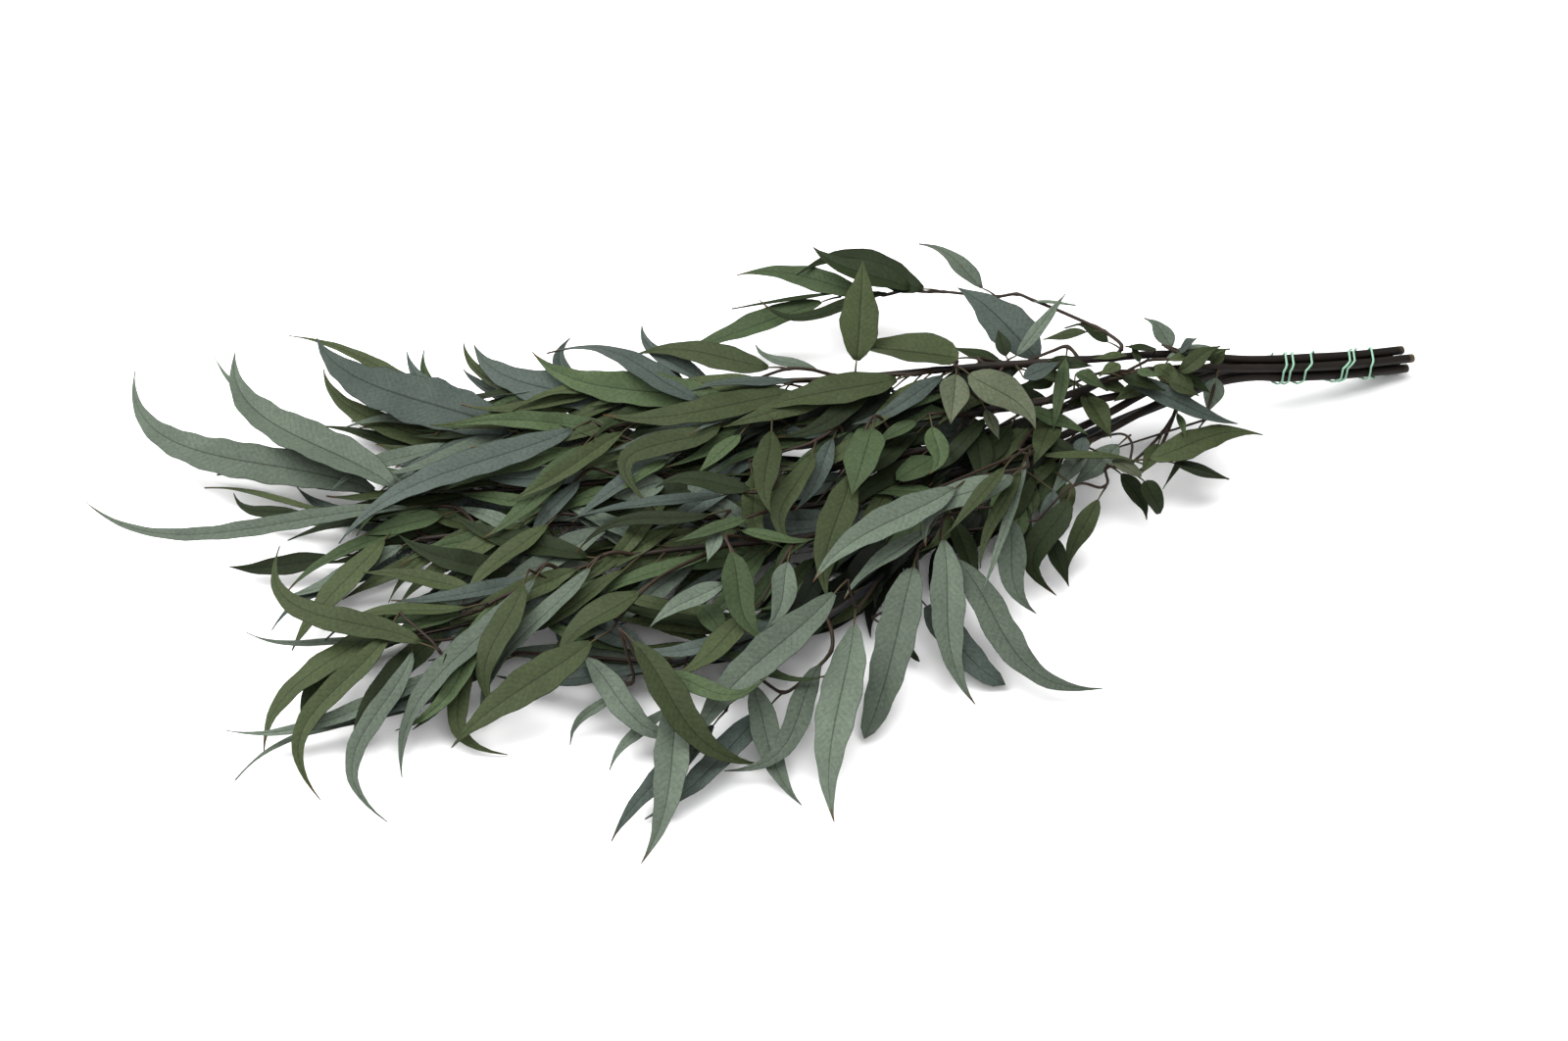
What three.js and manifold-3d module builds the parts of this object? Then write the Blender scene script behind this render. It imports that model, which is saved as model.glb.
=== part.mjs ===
// A florist's bunch of willow eucalyptus lying on a table: six cut branches held by a
// string wound round their bare ends, with long sickle-shaped leaves on short side shoots.
// Millimetres, +Z up, the table at Z = 0. The cut ends point along +X, the leafy tips along -X.
import * as THREE from 'three';
import Module from 'manifold-3d';

// Driving dimensions, mm.
const STEM_RADIUS = 2.7; // a branch at the string
const STEM_TIP_RADIUS = 1.1; // the same branch where its last shoots leave
const BUNDLE_RADIUS = 5.9; // from the middle branch's centre to the five round it
const SHOOT_RADIUS = 1.2;
const SHOOT_TIP_RADIUS = 0.7;
const PETIOLE_LENGTH = 11;
const PETIOLE_RADIUS = 0.7;
const LEAF_THICKNESS = 0.9; // the dried blade with its cupped section
const STRING_RADIUS = 0.7;
const STRING_START = 0.25; // where its first end lies, in half turns from the far side
const GAP = 0.35; // between pieces that touch
const REST_GAP = 0.9; // between two leaves that lie on each other
const TABLE_GAP = 0.3; // least height of a leaf's or a shoot's underside over the table
const SMALLEST_DETAIL = 0.2; // finer steps where a leaf stalk joins its shoot are smoothed away

const ARCH = 0.05; // how far a leaf bends upwards, as a share of its length
const CUP = 0.12; // how far its edges stand above the midrib, as a share of its half width
const ROLL = THREE.MathUtils.degToRad(16); // the most a leaf tips to one side
// X of the string at each half turn: on the far side, the near side, the far side and so on.
const STRING_STOPS = [315, 317.5, 323, 321.5, 327.5, 330, 341, 353.5, 366.5, 356.5, 369.5, 374.5,
  379, 381.5];

const STEM_SIDES = 7;
const SHOOT_SIDES = 5;
const STRING_SIDES = 5;
const LEAF_STATIONS = [0.02, 0.16, 0.36, 0.6, 0.83]; // shares of a leaf's length, in the solid
const SAMPLE_STEP = 6; // spacing of the points where a leaf's height is worked out
const STRING_STEPS = 9; // per half turn
const TAPER_POWER = 1.2; // above 1, a branch thins late along its length

// A body grown by a gap, to be cut away from its neighbours: a leaf's thin edges and long tip
// grow by more than the gap, since a slanting face comes closer than its edge does.
const EDGE_GROWTH = 2;
const FACE_GROWTH = 1.3;
const TIP_GROWTH = 3;

// Working out how high each leaf lies.
const ROUNDS = 90;
const LAST_ROUNDS = 4; // these smooth less, so that the gaps come out exact
const SMOOTHING = 0.45; // how far a point's lift follows its neighbours' in one round
const LAST_SMOOTHING = 0.1;
const PACE = 0.8; // share of a missing gap that one round opens
const FADE = 0.995; // a lift that nothing holds up fades away by this in one round
const ROLL_SHARE = 0.55; // share of a rolled edge's height that its neighbours keep clear of
const CUP_SHARE = 0.04; // the same for the cupped section, as a share of the half width
const FREE_SHARE = 0.15; // of a leaf's length, which may touch leaves of its own shoot
const FREE_POINTS = 3; // of a shoot, which may touch the branch it grows from
const REACH_MARGIN = 1; // sideways, within which two points count as over each other

const wasm = await Module();
wasm.setup();

const vec = (p) => new THREE.Vector3(p[0], p[1], p[2]);
const UP = new THREE.Vector3(0, 0, 1);
const GOLDEN_ANGLE = Math.PI * (3 - Math.sqrt(5));

// ---- The branches -------------------------------------------------------------------------

// The middle of the tied bundle, from the cut ends inwards.
const BUNDLE = [[398, 159, 10], [362, 145, 18], [320, 132, 27], [292, 125, 33]];

// Each branch: its place in the bundle (turn round the middle, degrees; null in the middle),
// how far its cut end stands out, and its way through the leaves.
const BRANCHES = {
  back: { turn: 65, cut: 2, way: [[250, 119, 50], [200, 105, 58], [150, 96, 62], [100, 90, 62],
    [50, 88, 58], [0, 92, 52], [-60, 97, 44], [-110, 108, 36]] },
  upper: { turn: 137, cut: 6, way: [[250, 108, 48], [215, 98, 50], [185, 82, 50], [150, 73, 49],
    [100, 66, 47], [50, 64, 44], [0, 65, 42], [-60, 69, 38], [-120, 80, 31], [-165, 74, 22]] },
  middle: { turn: null, cut: 0, way: [[250, 103, 39], [200, 88, 40], [150, 70, 37], [100, 52, 35],
    [50, 42, 33], [0, 38, 32], [-60, 34, 30], [-120, 30, 26], [-176, 30, 22]] },
  lower: { turn: 353, cut: -2, way: [[250, 111, 36], [200, 78, 32], [150, 52, 29], [100, 34, 28],
    [50, 18, 27], [0, 8, 27], [-60, 4, 26], [-120, 2, 23], [-186, -3, 18]] },
  front: { turn: 209, cut: 4, way: [[250, 103, 29], [200, 70, 26], [150, 38, 28], [100, 12, 29],
    [50, -8, 29], [0, -18, 30], [-50, -27, 32], [-100, -38, 28], [-150, -58, 22], [-171, -67, 20]] },
  near: { turn: 281, cut: 3, radius: 3.4, out: 6.6, way: [[250, 108, 22], [205, 90, 14],
    [160, 62, 12], [130, 30, 12], [95, -14, 20], [45, -70, 26], [-10, -92, 24], [-46, -101, 20]] },
};

// ---- The leaves ---------------------------------------------------------------------------

// Side shoots: the branch, where it leaves it (X), and its leaves from the branch outwards. A
// leaf is [base x, y, z, tip x, y, z, width, sideways bow, tone]: it bows to the left of the way
// from base to tip if positive. 'blunt' ends a leaf whose tip is rounded.
const SHOOTS = [
  { on: 'middle', x: -170, leaves: [
    [-192, 30, 23, -323, 148, 22, 12, 10, 'sage'], [-200, 32, 24, -308, 141, 32, 30, 20, 'sage'],
    [-212, 34, 19, -372, 144, 14, 24, 32, 'sage'], [-232, 40, 14, -311, 63, 5, 7, -5, 'dark']] },
  { on: 'lower', x: -150, leaves: [
    [-172, 12, 22, -217, 4, 14, 16, 0, 'fern'], [-190, 17, 23, -380, 27, 20, 12, 26, 'sage'],
    [-238, 19, 18, -315, 47, 10, 6, -4, 'olive'], [-252, 19, 15, -296, 38, 14, 8, 8, 'dark']] },
  { on: 'lower', x: -180, leaves: [
    [-208, 14, 15, -275, 22, 8, 13, 0, 'olive'], [-203, -6, 21, -249, -74, 3, 18, -3, 'olive'],
    [-232, -12, 12, -292, -14, 7, 13, 3, 'dark']] },
  { on: 'middle', x: -120, leaves: [
    [-140, 40, 26, -242, 36, 14, 18, 6, 'olive'], [-156, 48, 24, -205, 60, 14, 9, -4, 'slate']] },
  { on: 'upper', x: -115, leaves: [
    [-136, 70, 33, -262, 160, 27, 36, 14, 'slate'], [-150, 84, 26, -204, 137, 36, 15, 8, 'slate'],
    [-170, 95, 28, -281, 170, 20, 9, -7, 'olive']] },
  { on: 'upper', x: -140, leaves: [
    [-152, 66, 20, -196, 150, 26, 13, 8, 'fern'], [-160, 64, 17, -258, 147, 14, 17, 14, 'olive'],
    [-168, 60, 13, -258, 104, 6, 10, -5, 'dark']] },
  { on: 'upper', x: -60, leaves: [
    [-70, 50, 44, -158, 79, 32, 12, -12, 'fern'], [-98, 59, 46, -228, -12, 24, 20, -14, 'slate']] },
  { on: 'upper', x: -50, leaves: [
    [-64, 80, 41, -165, 148, 32, 28, 14, 'slate'], [-100, 98, 30, -107, 152, 34, 12, 8, 'slate']] },
  { on: 'back', x: 10, leaves: [
    [-8, 74, 52, -127, 123, 48, 22, 14, 'fern'], [-26, 72, 56, -117, 113, 56, 24, -16, 'slate']] },
  { on: 'back', x: 50, leaves: [
    [30, 76, 58, -82, 66, 50, 20, 8, 'olive'], [14, 88, 54, -56, 99, 46, 13, 2, 'olive']] },
  { on: 'back', x: 60, leaves: [
    [42, 104, 50, 5, 132, 46, 10, 6, 'sage'], [14, 98, 58, -66, 116, 52, 18, -8, 'olive'],
    [-22, 96, 47, -63, 145, 50, 14, 8, 'slate'], [-36, 99, 43, -60, 121, 44, 9, 0, 'sage']] },
  { on: 'back', x: 110, leaves: [
    [88, 84, 61, 5, 62, 56, 21, -3, 'olive'], [64, 98, 62, 69, 164, 84, 24, 0, 'olive']] },
  { on: 'upper', x: 80, leaves: [
    [62, 64, 50, -30, 54, 46, 11, -6, 'olive'], [40, 56, 48, 0, 45, 46, 11, -4, 'fern'],
    [22, 57, 46, 62, 50, 42, 12, 8, 'slate']] },
  { on: 'upper', x: 0, leaves: [
    [-14, 52, 56, -50, -6, 44, 16, -34, 'olive'], [-44, 33, 46, -72, 12, 40, 10, 0, 'fern'],
    [-58, 40, 42, -85, 27, 37, 13, -4, 'fern']] },
  { on: 'upper', x: 25, leaves: [
    [15, 44, 58, 15, -17, 52, 16, -4, 'olive'], [-3, 44, 55, -26, 16, 52, 13, 0, 'fern']] },
  { on: 'upper', x: -30, leaves: [
    [-70, 54, 48, -133, 5, 40, 12, 3, 'olive'], [-92, 46, 45, -146, -16, 32, 17, 4, 'fern'],
    [-100, 51, 38, -173, 26, 26, 19, -5, 'fern']] },
  { on: 'middle', x: 60, leaves: [
    [50, 46, 50, 28, -4, 42, 11, 3, 'slate'], [38, 30, 53, 28, -34, 42, 16, -12, 'olive'],
    [4, 17, 50, 21, -33, 42, 14, -10, 'olive']] },
  { on: 'middle', x: 20, leaves: [
    [4, -6, 60, -49, -4, 60, 14, -8, 'dark'], [-12, 4, 46, -100, -6, 36, 12, -3, 'slate'],
    [-46, 24, 38, -75, 14, 34, 18, 0, 'sage']] },
  { on: 'middle', x: -46, leaves: [
    [-74, 18, 38, -106, 4, 30, 14, -3, 'fern'], [-94, 22, 40, -118, -20, 30, 11, -5, 'slate'],
    [-118, 14, 29, -166, 31, 21, 9, 0, 'fern']] },
  { on: 'middle', x: 90, leaves: [
    [72, 44, 60, 60, -2, 52, 24, 0, 'fern'], [60, 16, 52, 46, -67, 36, 20, -6, 'olive']] },
  { on: 'upper', x: 130, leaves: [
    [106, 43, 62, 104, 15, 52, 13, 5, 'fern'], [98, 56, 54, 74, 44, 48, 12, 0, 'fern']] },
  { on: 'upper', x: 152, leaves: [
    [132, 62, 46, 135, 22, 36, 18, 0, 'dark'], [108, 40, 41, 86, 25, 38, 20, 0, 'fern', 'blunt']] },
  { on: 'lower', x: 30, leaves: [
    [2, -18, 50, -38, -31, 44, 9, 0, 'fern'], [-2, -24, 46, 40, -28, 44, 9, -4, 'fern'],
    [-14, -26, 48, -20, -44, 42, 10, 0, 'sage'], [-18, -16, 51, -93, -29, 34, 9, -14, 'dark']] },
  { on: 'lower', x: -70, leaves: [
    [-110, -6, 33, -155, -55, 22, 14, -4, 'olive'], [-124, 0, 29, -192, -49, 12, 16, -6, 'olive'],
    [-112, -14, 20, -203, -9, 9, 11, 0, 'slate']] },
  { on: 'front', x: -105, leaves: [
    [-150, -68, 31, -228, -80, 18, 12, -12, 'olive'], [-154, -70, 28, -196, -76, 18, 8, 0, 'fern'],
    [-198, -76, 14, -274, -68, 11, 5, 6, 'sage']] },
  { on: 'front', x: -165, leaves: [
    [-190, -70, 27, -254, -147, 4, 20, -14, 'olive'], [-200, -72, 23, -236, -130, 6, 15, -8, 'fern']] },
  { on: 'front', x: -100, leaves: [
    [-114, -50, 36, -179, -164, 3, 17, -16, 'sage'], [-152, -90, 20, -125, -148, 2, 12, -18, 'olive'],
    [-178, -96, 27, -184, -193, 2, 12, -22, 'sage']] },
  { on: 'front', x: -60, leaves: [
    [-84, -44, 38, -140, -128, 4, 15, -12, 'sage'], [-97, -56, 24, -98, -84, 8, 14, 0, 'slate'],
    [-120, -59, 40, -132, -125, 12, 17, -10, 'olive']] },
  { on: 'near', x: -40, leaves: [
    [-130, -94, 16, -228, -132, 8, 22, 4, 'slate'], [-150, -100, 18, -275, -138, 10, 10, 12, 'sage'],
    [-165, -117, 11, -267, -165, 2, 8, -12, 'sage'],
    [-172, -98, 34, -259, -22, 32, 16, 24, 'olive'],
    [-190, -84, 33, -220, -179, 3, 14, -23, 'olive']] },
  { on: 'front', x: -10, leaves: [
    [-56, -68, 44, -98, -106, 28, 22, -8, 'olive'], [-80, -101, 40, -154, -146, 6, 22, -4, 'olive']] },
  { on: 'near', x: -38, leaves: [
    [-42, -117, 32, 13, -121, 35, 11, -14, 'fern'], [-58, -108, 48, 10, -161, 10, 19, -14, 'olive'],
    [-68, -122, 22, -92, -141, 2, 6, -6, 'sage'],
    [-85, -100, 26, -25, -147, 14, 15, -12, 'sage']] },
  { on: 'near', x: 0, leaves: [
    [-15, -98, 30, 45, -115, 28, 9, -8, 'fern'], [-33, -118, 22, -51, -220, 2, 19, 6, 'sage'],
    [-40, -127, 16, -70, -159, 3, 9, -4, 'sage']] },
  { on: 'near', x: 45, leaves: [
    [42, -103, 24, -9, -162, 6, 14, 16, 'sage'], [15, -121, 11, -50, -192, 3, 18, 4, 'slate'],
    [5, -112, 18, 31, -182, 2, 16, -5, 'sage'], [-15, -137, 14, -67, -206, 2, 13, -4, 'slate']] },
  { on: 'near', x: 75, leaves: [
    [60, -82, 34, 48, -194, 3, 24, -6, 'sage'], [50, -74, 50, -28, -162, 14, 21, -10, 'sage']] },
  { on: 'near', x: 105, leaves: [
    [93, -44, 38, 65, -138, 4, 22, 2, 'sage', 'blunt'],
    [100, -56, 20, 142, -100, 4, 18, -4, 'slate', 'blunt'],
    [78, -68, 14, 96, -84, 5, 9, 0, 'dark', 'blunt']] },
  { on: 'near', x: 125, leaves: [
    [104, -20, 45, 55, -64, 34, 14, -4, 'sage'], [110, -26, 42, 125, -114, 4, 20, -8, 'sage'],
    [116, -34, 35, 195, -102, 3, 21, -22, 'sage']] },
  { on: 'front', x: 160, leaves: [
    [148, -4, 36, 162, -51, 8, 17, -8, 'sage'], [118, 4, 26, 130, -35, 14, 15, 0, 'dark']] },
  { on: 'lower', x: 175, leaves: [
    [155, 17, 54, 130, -43, 36, 9, -4, 'olive'], [150, 8, 58, 100, -34, 44, 20, -16, 'sage'],
    [118, 2, 54, 38, -57, 40, 20, -8, 'sage']] },
  { on: 'middle', x: 175, leaves: [
    [172, 51, 43, 193, 43, 38, 10, 0, 'dark'], [166, 37, 46, 227, 38, 38, 8, 4, 'olive'],
    [160, 30, 50, 130, -58, 30, 6, 0, 'sage'], [145, 8, 64, 112, -32, 52, 10, 0, 'olive']] },
  { on: 'front', x: 40, leaves: [
    [24, -50, 48, 12, -90, 38, 15, 4, 'sage'], [3, -83, 42, -37, -119, 32, 19, 4, 'olive']] },
  { on: 'front', x: 10, leaves: [
    [-7, -46, 52, 16, -104, 40, 18, -8, 'fern'], [-10, -64, 46, -50, -87, 36, 13, -3, 'sage'],
    [-23, -69, 34, -8, -90, 30, 14, 0, 'fern']] },
  { on: 'near', x: 258, leaves: [
    [247, 50, 27, 280, 48, 16, 15, 0, 'dark'], [228, 34, 28, 238, 27, 9, 14, 0, 'dark', 'blunt'],
    [215, 38, 30, 231, 22, 9, 12, 3, 'dark'], [200, 14, 33, 182, -19, 9, 12, -3, 'olive'],
    [182, 6, 42, 174, -39, 10, 18, -16, 'dark'], [170, -4, 24, 182, -28, 6, 12, 0, 'dark']] },
  { on: 'near', x: 262, leaves: [
    [240, 68, 25, 227, 40, 28, 10, 0, 'olive'], [232, 49, 31, 302, 77, 24, 18, 8, 'sage'],
    [216, 57, 35, 188, 32, 26, 14, 0, 'sage'], [197, 56, 32, 174, 25, 24, 13, 0, 'sage']] },
  { on: 'upper', x: 281, leaves: [[277, 108, 41, 272, 94, 26, 13, 0, 'sage'],
    [263, 70, 34, 242, 42, 14, 5, 0, 'olive']] },
  { on: 'upper', x: 235, leaves: [
    [218, 92, 56, 287, 80, 30, 14, -4, 'slate'], [197, 88, 46, 211, 62, 36, 17, 0, 'olive']] },
  { on: 'back', x: 262, leaves: [
    [254, 114, 57, 262, 112, 68, 12, 0, 'slate'], [250, 116, 58, 235, 133, 66, 14, -3, 'sage'],
    [246, 108, 56, 276, 112, 60, 10, 4, 'sage']] },
  { on: 'upper', x: 262, leaves: [
    [245, 88, 56, 262, 80, 52, 10, 0, 'olive'], [230, 94, 52, 252, 86, 48, 10, 0, 'olive'],
    [206, 96, 50, 226, 88, 46, 12, 0, 'olive']] },
  { on: 'back', x: 195, leaves: [
    [186, 103, 60, 177, 61, 42, 9, 0, 'fern'], [165, 99, 54, 200, 94, 46, 14, 0, 'olive']] },
  { on: 'back', x: 215, leaves: [
    [212, 116, 62, 188, 131, 60, 12, -8, 'dark'], [200, 124, 63, 176, 128, 54, 9, 0, 'olive'],
    [170, 154, 61, 194, 140, 70, 4, 0, 'sage'], [142, 173, 55, 105, 212, 58, 17, -6, 'sage'],
    [108, 182, 47, 30, 204, 40, 22, -22, 'dark'], [100, 184, 45, 40, 216, 52, 20, 6, 'dark'],
    [86, 184, 42, 7, 187, 34, 12, 20, 'dark'], [72, 189, 38, -7, 216, 30, 17, -8, 'fern'],
    [56, 193, 35, -10, 186, 28, 5, 0, 'dark'], [46, 188, 32, -45, 166, 7, 19, 0, 'fern']] },
  { on: 'back', x: 190, leaves: [
    [172, 112, 52, 127, 177, 52, 29, -3, 'slate'], [158, 110, 56, 188, 143, 76, 8, 0, 'sage'],
    [152, 112, 54, 148, 129, 60, 9, 0, 'dark']] },
  { on: 'back', x: 140, leaves: [
    [124, 102, 61, 68, 112, 62, 30, 0, 'olive', 'blunt'], [150, 112, 50, 122, 127, 48, 10, 0, 'dark']] },
  { on: 'back', x: 150, leaves: [
    [138, 66, 54, 145, 50, 46, 9, 0, 'pale'], [128, 82, 67, 165, 48, 56, 23, 6, 'pale'],
    [121, 84, 65, 117, 52, 56, 18, 0, 'pale']] },
];

const TONES = { sage: 0x6f7f6e, slate: 0x66736f, olive: 0x566443, fern: 0x617a54, dark: 0x36442f,
  pale: 0x8b9578 };
const BARK = 0x3a2c24;
const MINT = 0x8fc9aa;

// ---- Curves -------------------------------------------------------------------------------

const mix = (a, b, t) => a + (b - a) * t;

// A smooth line through the points, as a row of points about a step apart.
function smoothLine(points, step) {
  const curve = new THREE.CatmullRomCurve3(points, false, 'catmullrom');
  const spans = points.length - 1;
  const line = [];
  for (let i = 0; i < spans; i++) {
    const count = Math.max(1, Math.round(points[i].distanceTo(points[i + 1]) / step));
    for (let k = 0; k < count; k++) line.push(curve.getPoint((i + k / count) / spans));
  }
  line.push(points.at(-1).clone());
  return line;
}

function tangents(line) {
  return line.map((_, i) => line[Math.min(i + 1, line.length - 1)].clone()
    .sub(line[Math.max(i - 1, 0)]).normalize());
}

// The two directions square to the tangent: sideways, and as near upright as it goes.
function across(tangent) {
  const side = new THREE.Vector3().crossVectors(UP, tangent).normalize();
  return [side, new THREE.Vector3().crossVectors(tangent, side)];
}

// The same two directions at each of a row of tangents, carried along from the first one's
// side so that they do not turn about the line.
function carried(along, firstSide) {
  let side = firstSide;
  return along.map((tangent) => {
    side = side.clone().addScaledVector(tangent, -side.dot(tangent)).normalize();
    return [side, new THREE.Vector3().crossVectors(tangent, side)];
  });
}

// ---- Closed bodies ------------------------------------------------------------------------

// A closed skin over rings of points; a ring of one point is a tip.
function skin(rings) {
  const points = [];
  const faces = [];
  const starts = [];
  for (const ring of rings) {
    starts.push(points.length / 3);
    for (const p of ring) points.push(p.x, p.y, p.z);
  }
  const corner = (r, i) => starts[r] + (i % rings[r].length);
  for (let r = 0; r < rings.length - 1; r++) {
    const count = Math.max(rings[r].length, rings[r + 1].length);
    for (let i = 0; i < count; i++) {
      if (rings[r].length > 1) faces.push([corner(r, i), corner(r, i + 1), corner(r + 1, i)]);
      if (rings[r + 1].length > 1) {
        faces.push([corner(r, i + 1), corner(r + 1, i + 1), corner(r + 1, i)]);
      }
    }
  }
  for (let i = 1; i < rings[0].length - 1; i++) {
    faces.push([corner(0, 0), corner(0, i + 1), corner(0, i)]);
  }
  const last = rings.length - 1;
  for (let i = 1; i < rings[last].length - 1; i++) {
    faces.push([corner(last, 0), corner(last, i), corner(last, i + 1)]);
  }
  const geometry = new THREE.BufferGeometry();
  geometry.setAttribute('position', new THREE.Float32BufferAttribute(points, 3));
  geometry.setIndex(faces.flat());
  return geometry;
}

// The geometry as a body that can be joined and cut.
function solidOf(geometry) {
  return new wasm.Manifold(new wasm.Mesh({ numProp: 3,
    vertProperties: Float32Array.from(geometry.attributes.position.array),
    triVerts: Uint32Array.from(geometry.index.array) }));
}

// A round rod along a line, its radius given at each point's share of the way.
function rod(line, radiusAt, sides) {
  const along = tangents(line);
  const directions = carried(along, across(along[0])[0]);
  return solidOf(skin(line.map((p, i) => {
    const [side, up] = directions[i];
    const r = radiusAt(i / (line.length - 1));
    return Array.from({ length: sides }, (_, k) => {
      const turn = (2 * Math.PI * k) / sides;
      return p.clone().addScaledVector(side, r * Math.cos(turn))
        .addScaledVector(up, r * Math.sin(turn));
    });
  })));
}

// ---- The branches, cut ends first ---------------------------------------------------------

const bundleAlong = tangents(BUNDLE.map(vec));

function bundled(i, branch) {
  const centre = vec(BUNDLE[i]);
  if (branch.turn === null) return centre;
  const [side, up] = across(bundleAlong[i]);
  const turn = THREE.MathUtils.degToRad(branch.turn);
  return centre.addScaledVector(side, -branch.out * Math.cos(turn))
    .addScaledVector(up, branch.out * Math.sin(turn));
}

function branchLine(branch) {
  const points = BUNDLE.map((_, i) => bundled(i, branch));
  points[0].addScaledVector(bundleAlong[0], -branch.cut);
  return smoothLine([...points, ...branch.way.map(vec)], SAMPLE_STEP);
}

const stemRadius = (branch) => (share) => mix(branch.radius, STEM_TIP_RADIUS, share ** TAPER_POWER);

for (const branch of Object.values(BRANCHES)) {
  branch.radius ??= STEM_RADIUS;
  branch.out ??= BUNDLE_RADIUS;
  branch.line = branchLine(branch);
}

function pointAtX(line, x) {
  const i = Math.max(1, line.findIndex((p) => p.x < x));
  return line[i - 1].clone().lerp(line[i], (line[i - 1].x - x) / (line[i - 1].x - line[i].x));
}

// ---- Leaves and shoots as lines -----------------------------------------------------------

// A leaf's width at a share of its length. A sickle leaf is widest a third of the way out and
// runs to a long point; a blunt one narrows as much but ends round.
const sickle = (s) => Math.max(0, Math.sin(Math.PI * s ** 0.74)) ** 0.95 * (1 - 0.35 * s ** 3);
const blunt = (s) => Math.sqrt(Math.max(0, 1 - (2 * s - 1) ** 8))
  * mix(0.45, 1, Math.max(0, Math.sin(Math.PI * s ** 0.7)));

function leafLine(leaf) {
  const way = leaf.tip.clone().sub(leaf.base);
  const side = new THREE.Vector3(-way.y, way.x, 0).normalize();
  const count = Math.max(4, Math.round(way.length() / SAMPLE_STEP));
  return Array.from({ length: count + 1 }, (_, i) => {
    const s = i / count;
    const hook = (27 / 4) * s * s * (1 - s); // 1 at two thirds of the way out
    const rise = ARCH * way.length() * 4 * s * (1 - s); // greatest half way out
    const p = leaf.base.clone().addScaledVector(way, s).addScaledVector(side, leaf.bow * hook);
    return p.add(new THREE.Vector3(0, -rise, rise));
  });
}

const leaves = [];
for (const shoot of SHOOTS) {
  shoot.leaves = shoot.leaves.map(([bx, by, bz, tx, ty, tz, width, bow, tone, end]) => {
    const leaf = { shoot, base: vec([bx, by, bz]), tip: vec([tx, ty, tz]), width, bow, tone, end };
    leaf.roll = ROLL * Math.sin(GOLDEN_ANGLE * leaves.length);
    leaf.line = leafLine(leaf);
    leaves.push(leaf);
    return leaf;
  });
  const nodes = shoot.leaves.map((leaf) => {
    const back = leaf.line[0].clone().sub(leaf.line[1]).setZ(0).normalize();
    return leaf.base.clone().addScaledVector(back, PETIOLE_LENGTH);
  });
  shoot.line = smoothLine([pointAtX(BRANCHES[shoot.on].line, shoot.x), ...nodes], SAMPLE_STEP);
  shoot.nodes = nodes.map((node) => nearest(shoot.line, node));
}

function nearest(line, point) {
  let best = 0;
  line.forEach((p, i) => { if (p.distanceTo(point) < line[best].distanceTo(point)) best = i; });
  return best;
}

const shape = (leaf) => (leaf.end === 'blunt' ? blunt : sickle);

// ---- Leaves rest on each other and on the table, and do not run through one another --------
// A leaf that must give way to one under it moves up and, as much again, forwards (-Y).

const spots = [];
const chains = [];

// The points of one branch, shoot or leaf: how far each reaches sideways, and up and down.
function addChain(line, owner, kind, reachAt, tallAt) {
  const chain = { first: spots.length, count: line.length, owner, kind };
  line.forEach((p, i) => {
    const s = i / (line.length - 1);
    spots.push({ chain: chains.length, p, i, s, start: p.z, v: p.y + p.z,
      reach: reachAt(s), tall: tallAt(s) });
  });
  chains.push(chain);
  return chain;
}

function addChains() {
  for (const [name, branch] of Object.entries(BRANCHES)) {
    addChain(branch.line, name, 'branch', stemRadius(branch), stemRadius(branch));
  }
  const links = [];
  for (const shoot of SHOOTS) {
    const twig = addChain(shoot.line, shoot, 'shoot', () => SHOOT_RADIUS, () => SHOOT_RADIUS);
    shoot.leaves.forEach((leaf, n) => {
      const half = (s) => (leaf.width / 2) * shape(leaf)(THREE.MathUtils.clamp(s, 0.05, 0.97));
      const lift = ROLL_SHARE * Math.abs(Math.sin(leaf.roll)) + CUP_SHARE;
      const blade = addChain(leaf.line, shoot, 'leaf', half,
        (s) => LEAF_THICKNESS / 2 + half(s) * lift);
      links.push([blade.first, twig.first + shoot.nodes[n]]);
    });
  }
  return links;
}

// Whether two points lie over each other and must be kept apart.
function meet(p, q) {
  if (p.chain === q.chain) return false;
  const [c, d] = [chains[p.chain], chains[q.chain]];
  if (c.kind === 'branch' && d.kind === 'branch') return false;
  if (Math.hypot(p.p.x - q.p.x, p.v - q.v) > p.reach + q.reach + REACH_MARGIN) return false;
  if (c.owner === d.owner) {
    return c.kind === 'leaf' && d.kind === 'leaf' && p.s >= FREE_SHARE && q.s >= FREE_SHARE;
  }
  return !(c.kind === 'branch' && d.kind === 'shoot' && q.i < FREE_POINTS && c.owner === d.owner.on);
}

// The pairs of points that meet. Of two chains, the one that is higher on the whole stays so.
function meetings() {
  const pairs = [];
  const sums = new Map();
  for (let a = 0; a < spots.length; a++) {
    for (let b = a + 1; b < spots.length; b++) {
      const [p, q] = [spots[a], spots[b]];
      if (!meet(p, q)) continue;
      const key = `${p.chain} ${q.chain}`;
      pairs.push({ a, b, key });
      sums.set(key, (sums.get(key) ?? 0) + p.p.z - q.p.z);
    }
  }
  return pairs.map(({ a, b, key }) => (sums.get(key) >= 0 ? [a, b] : [b, a]));
}

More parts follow.
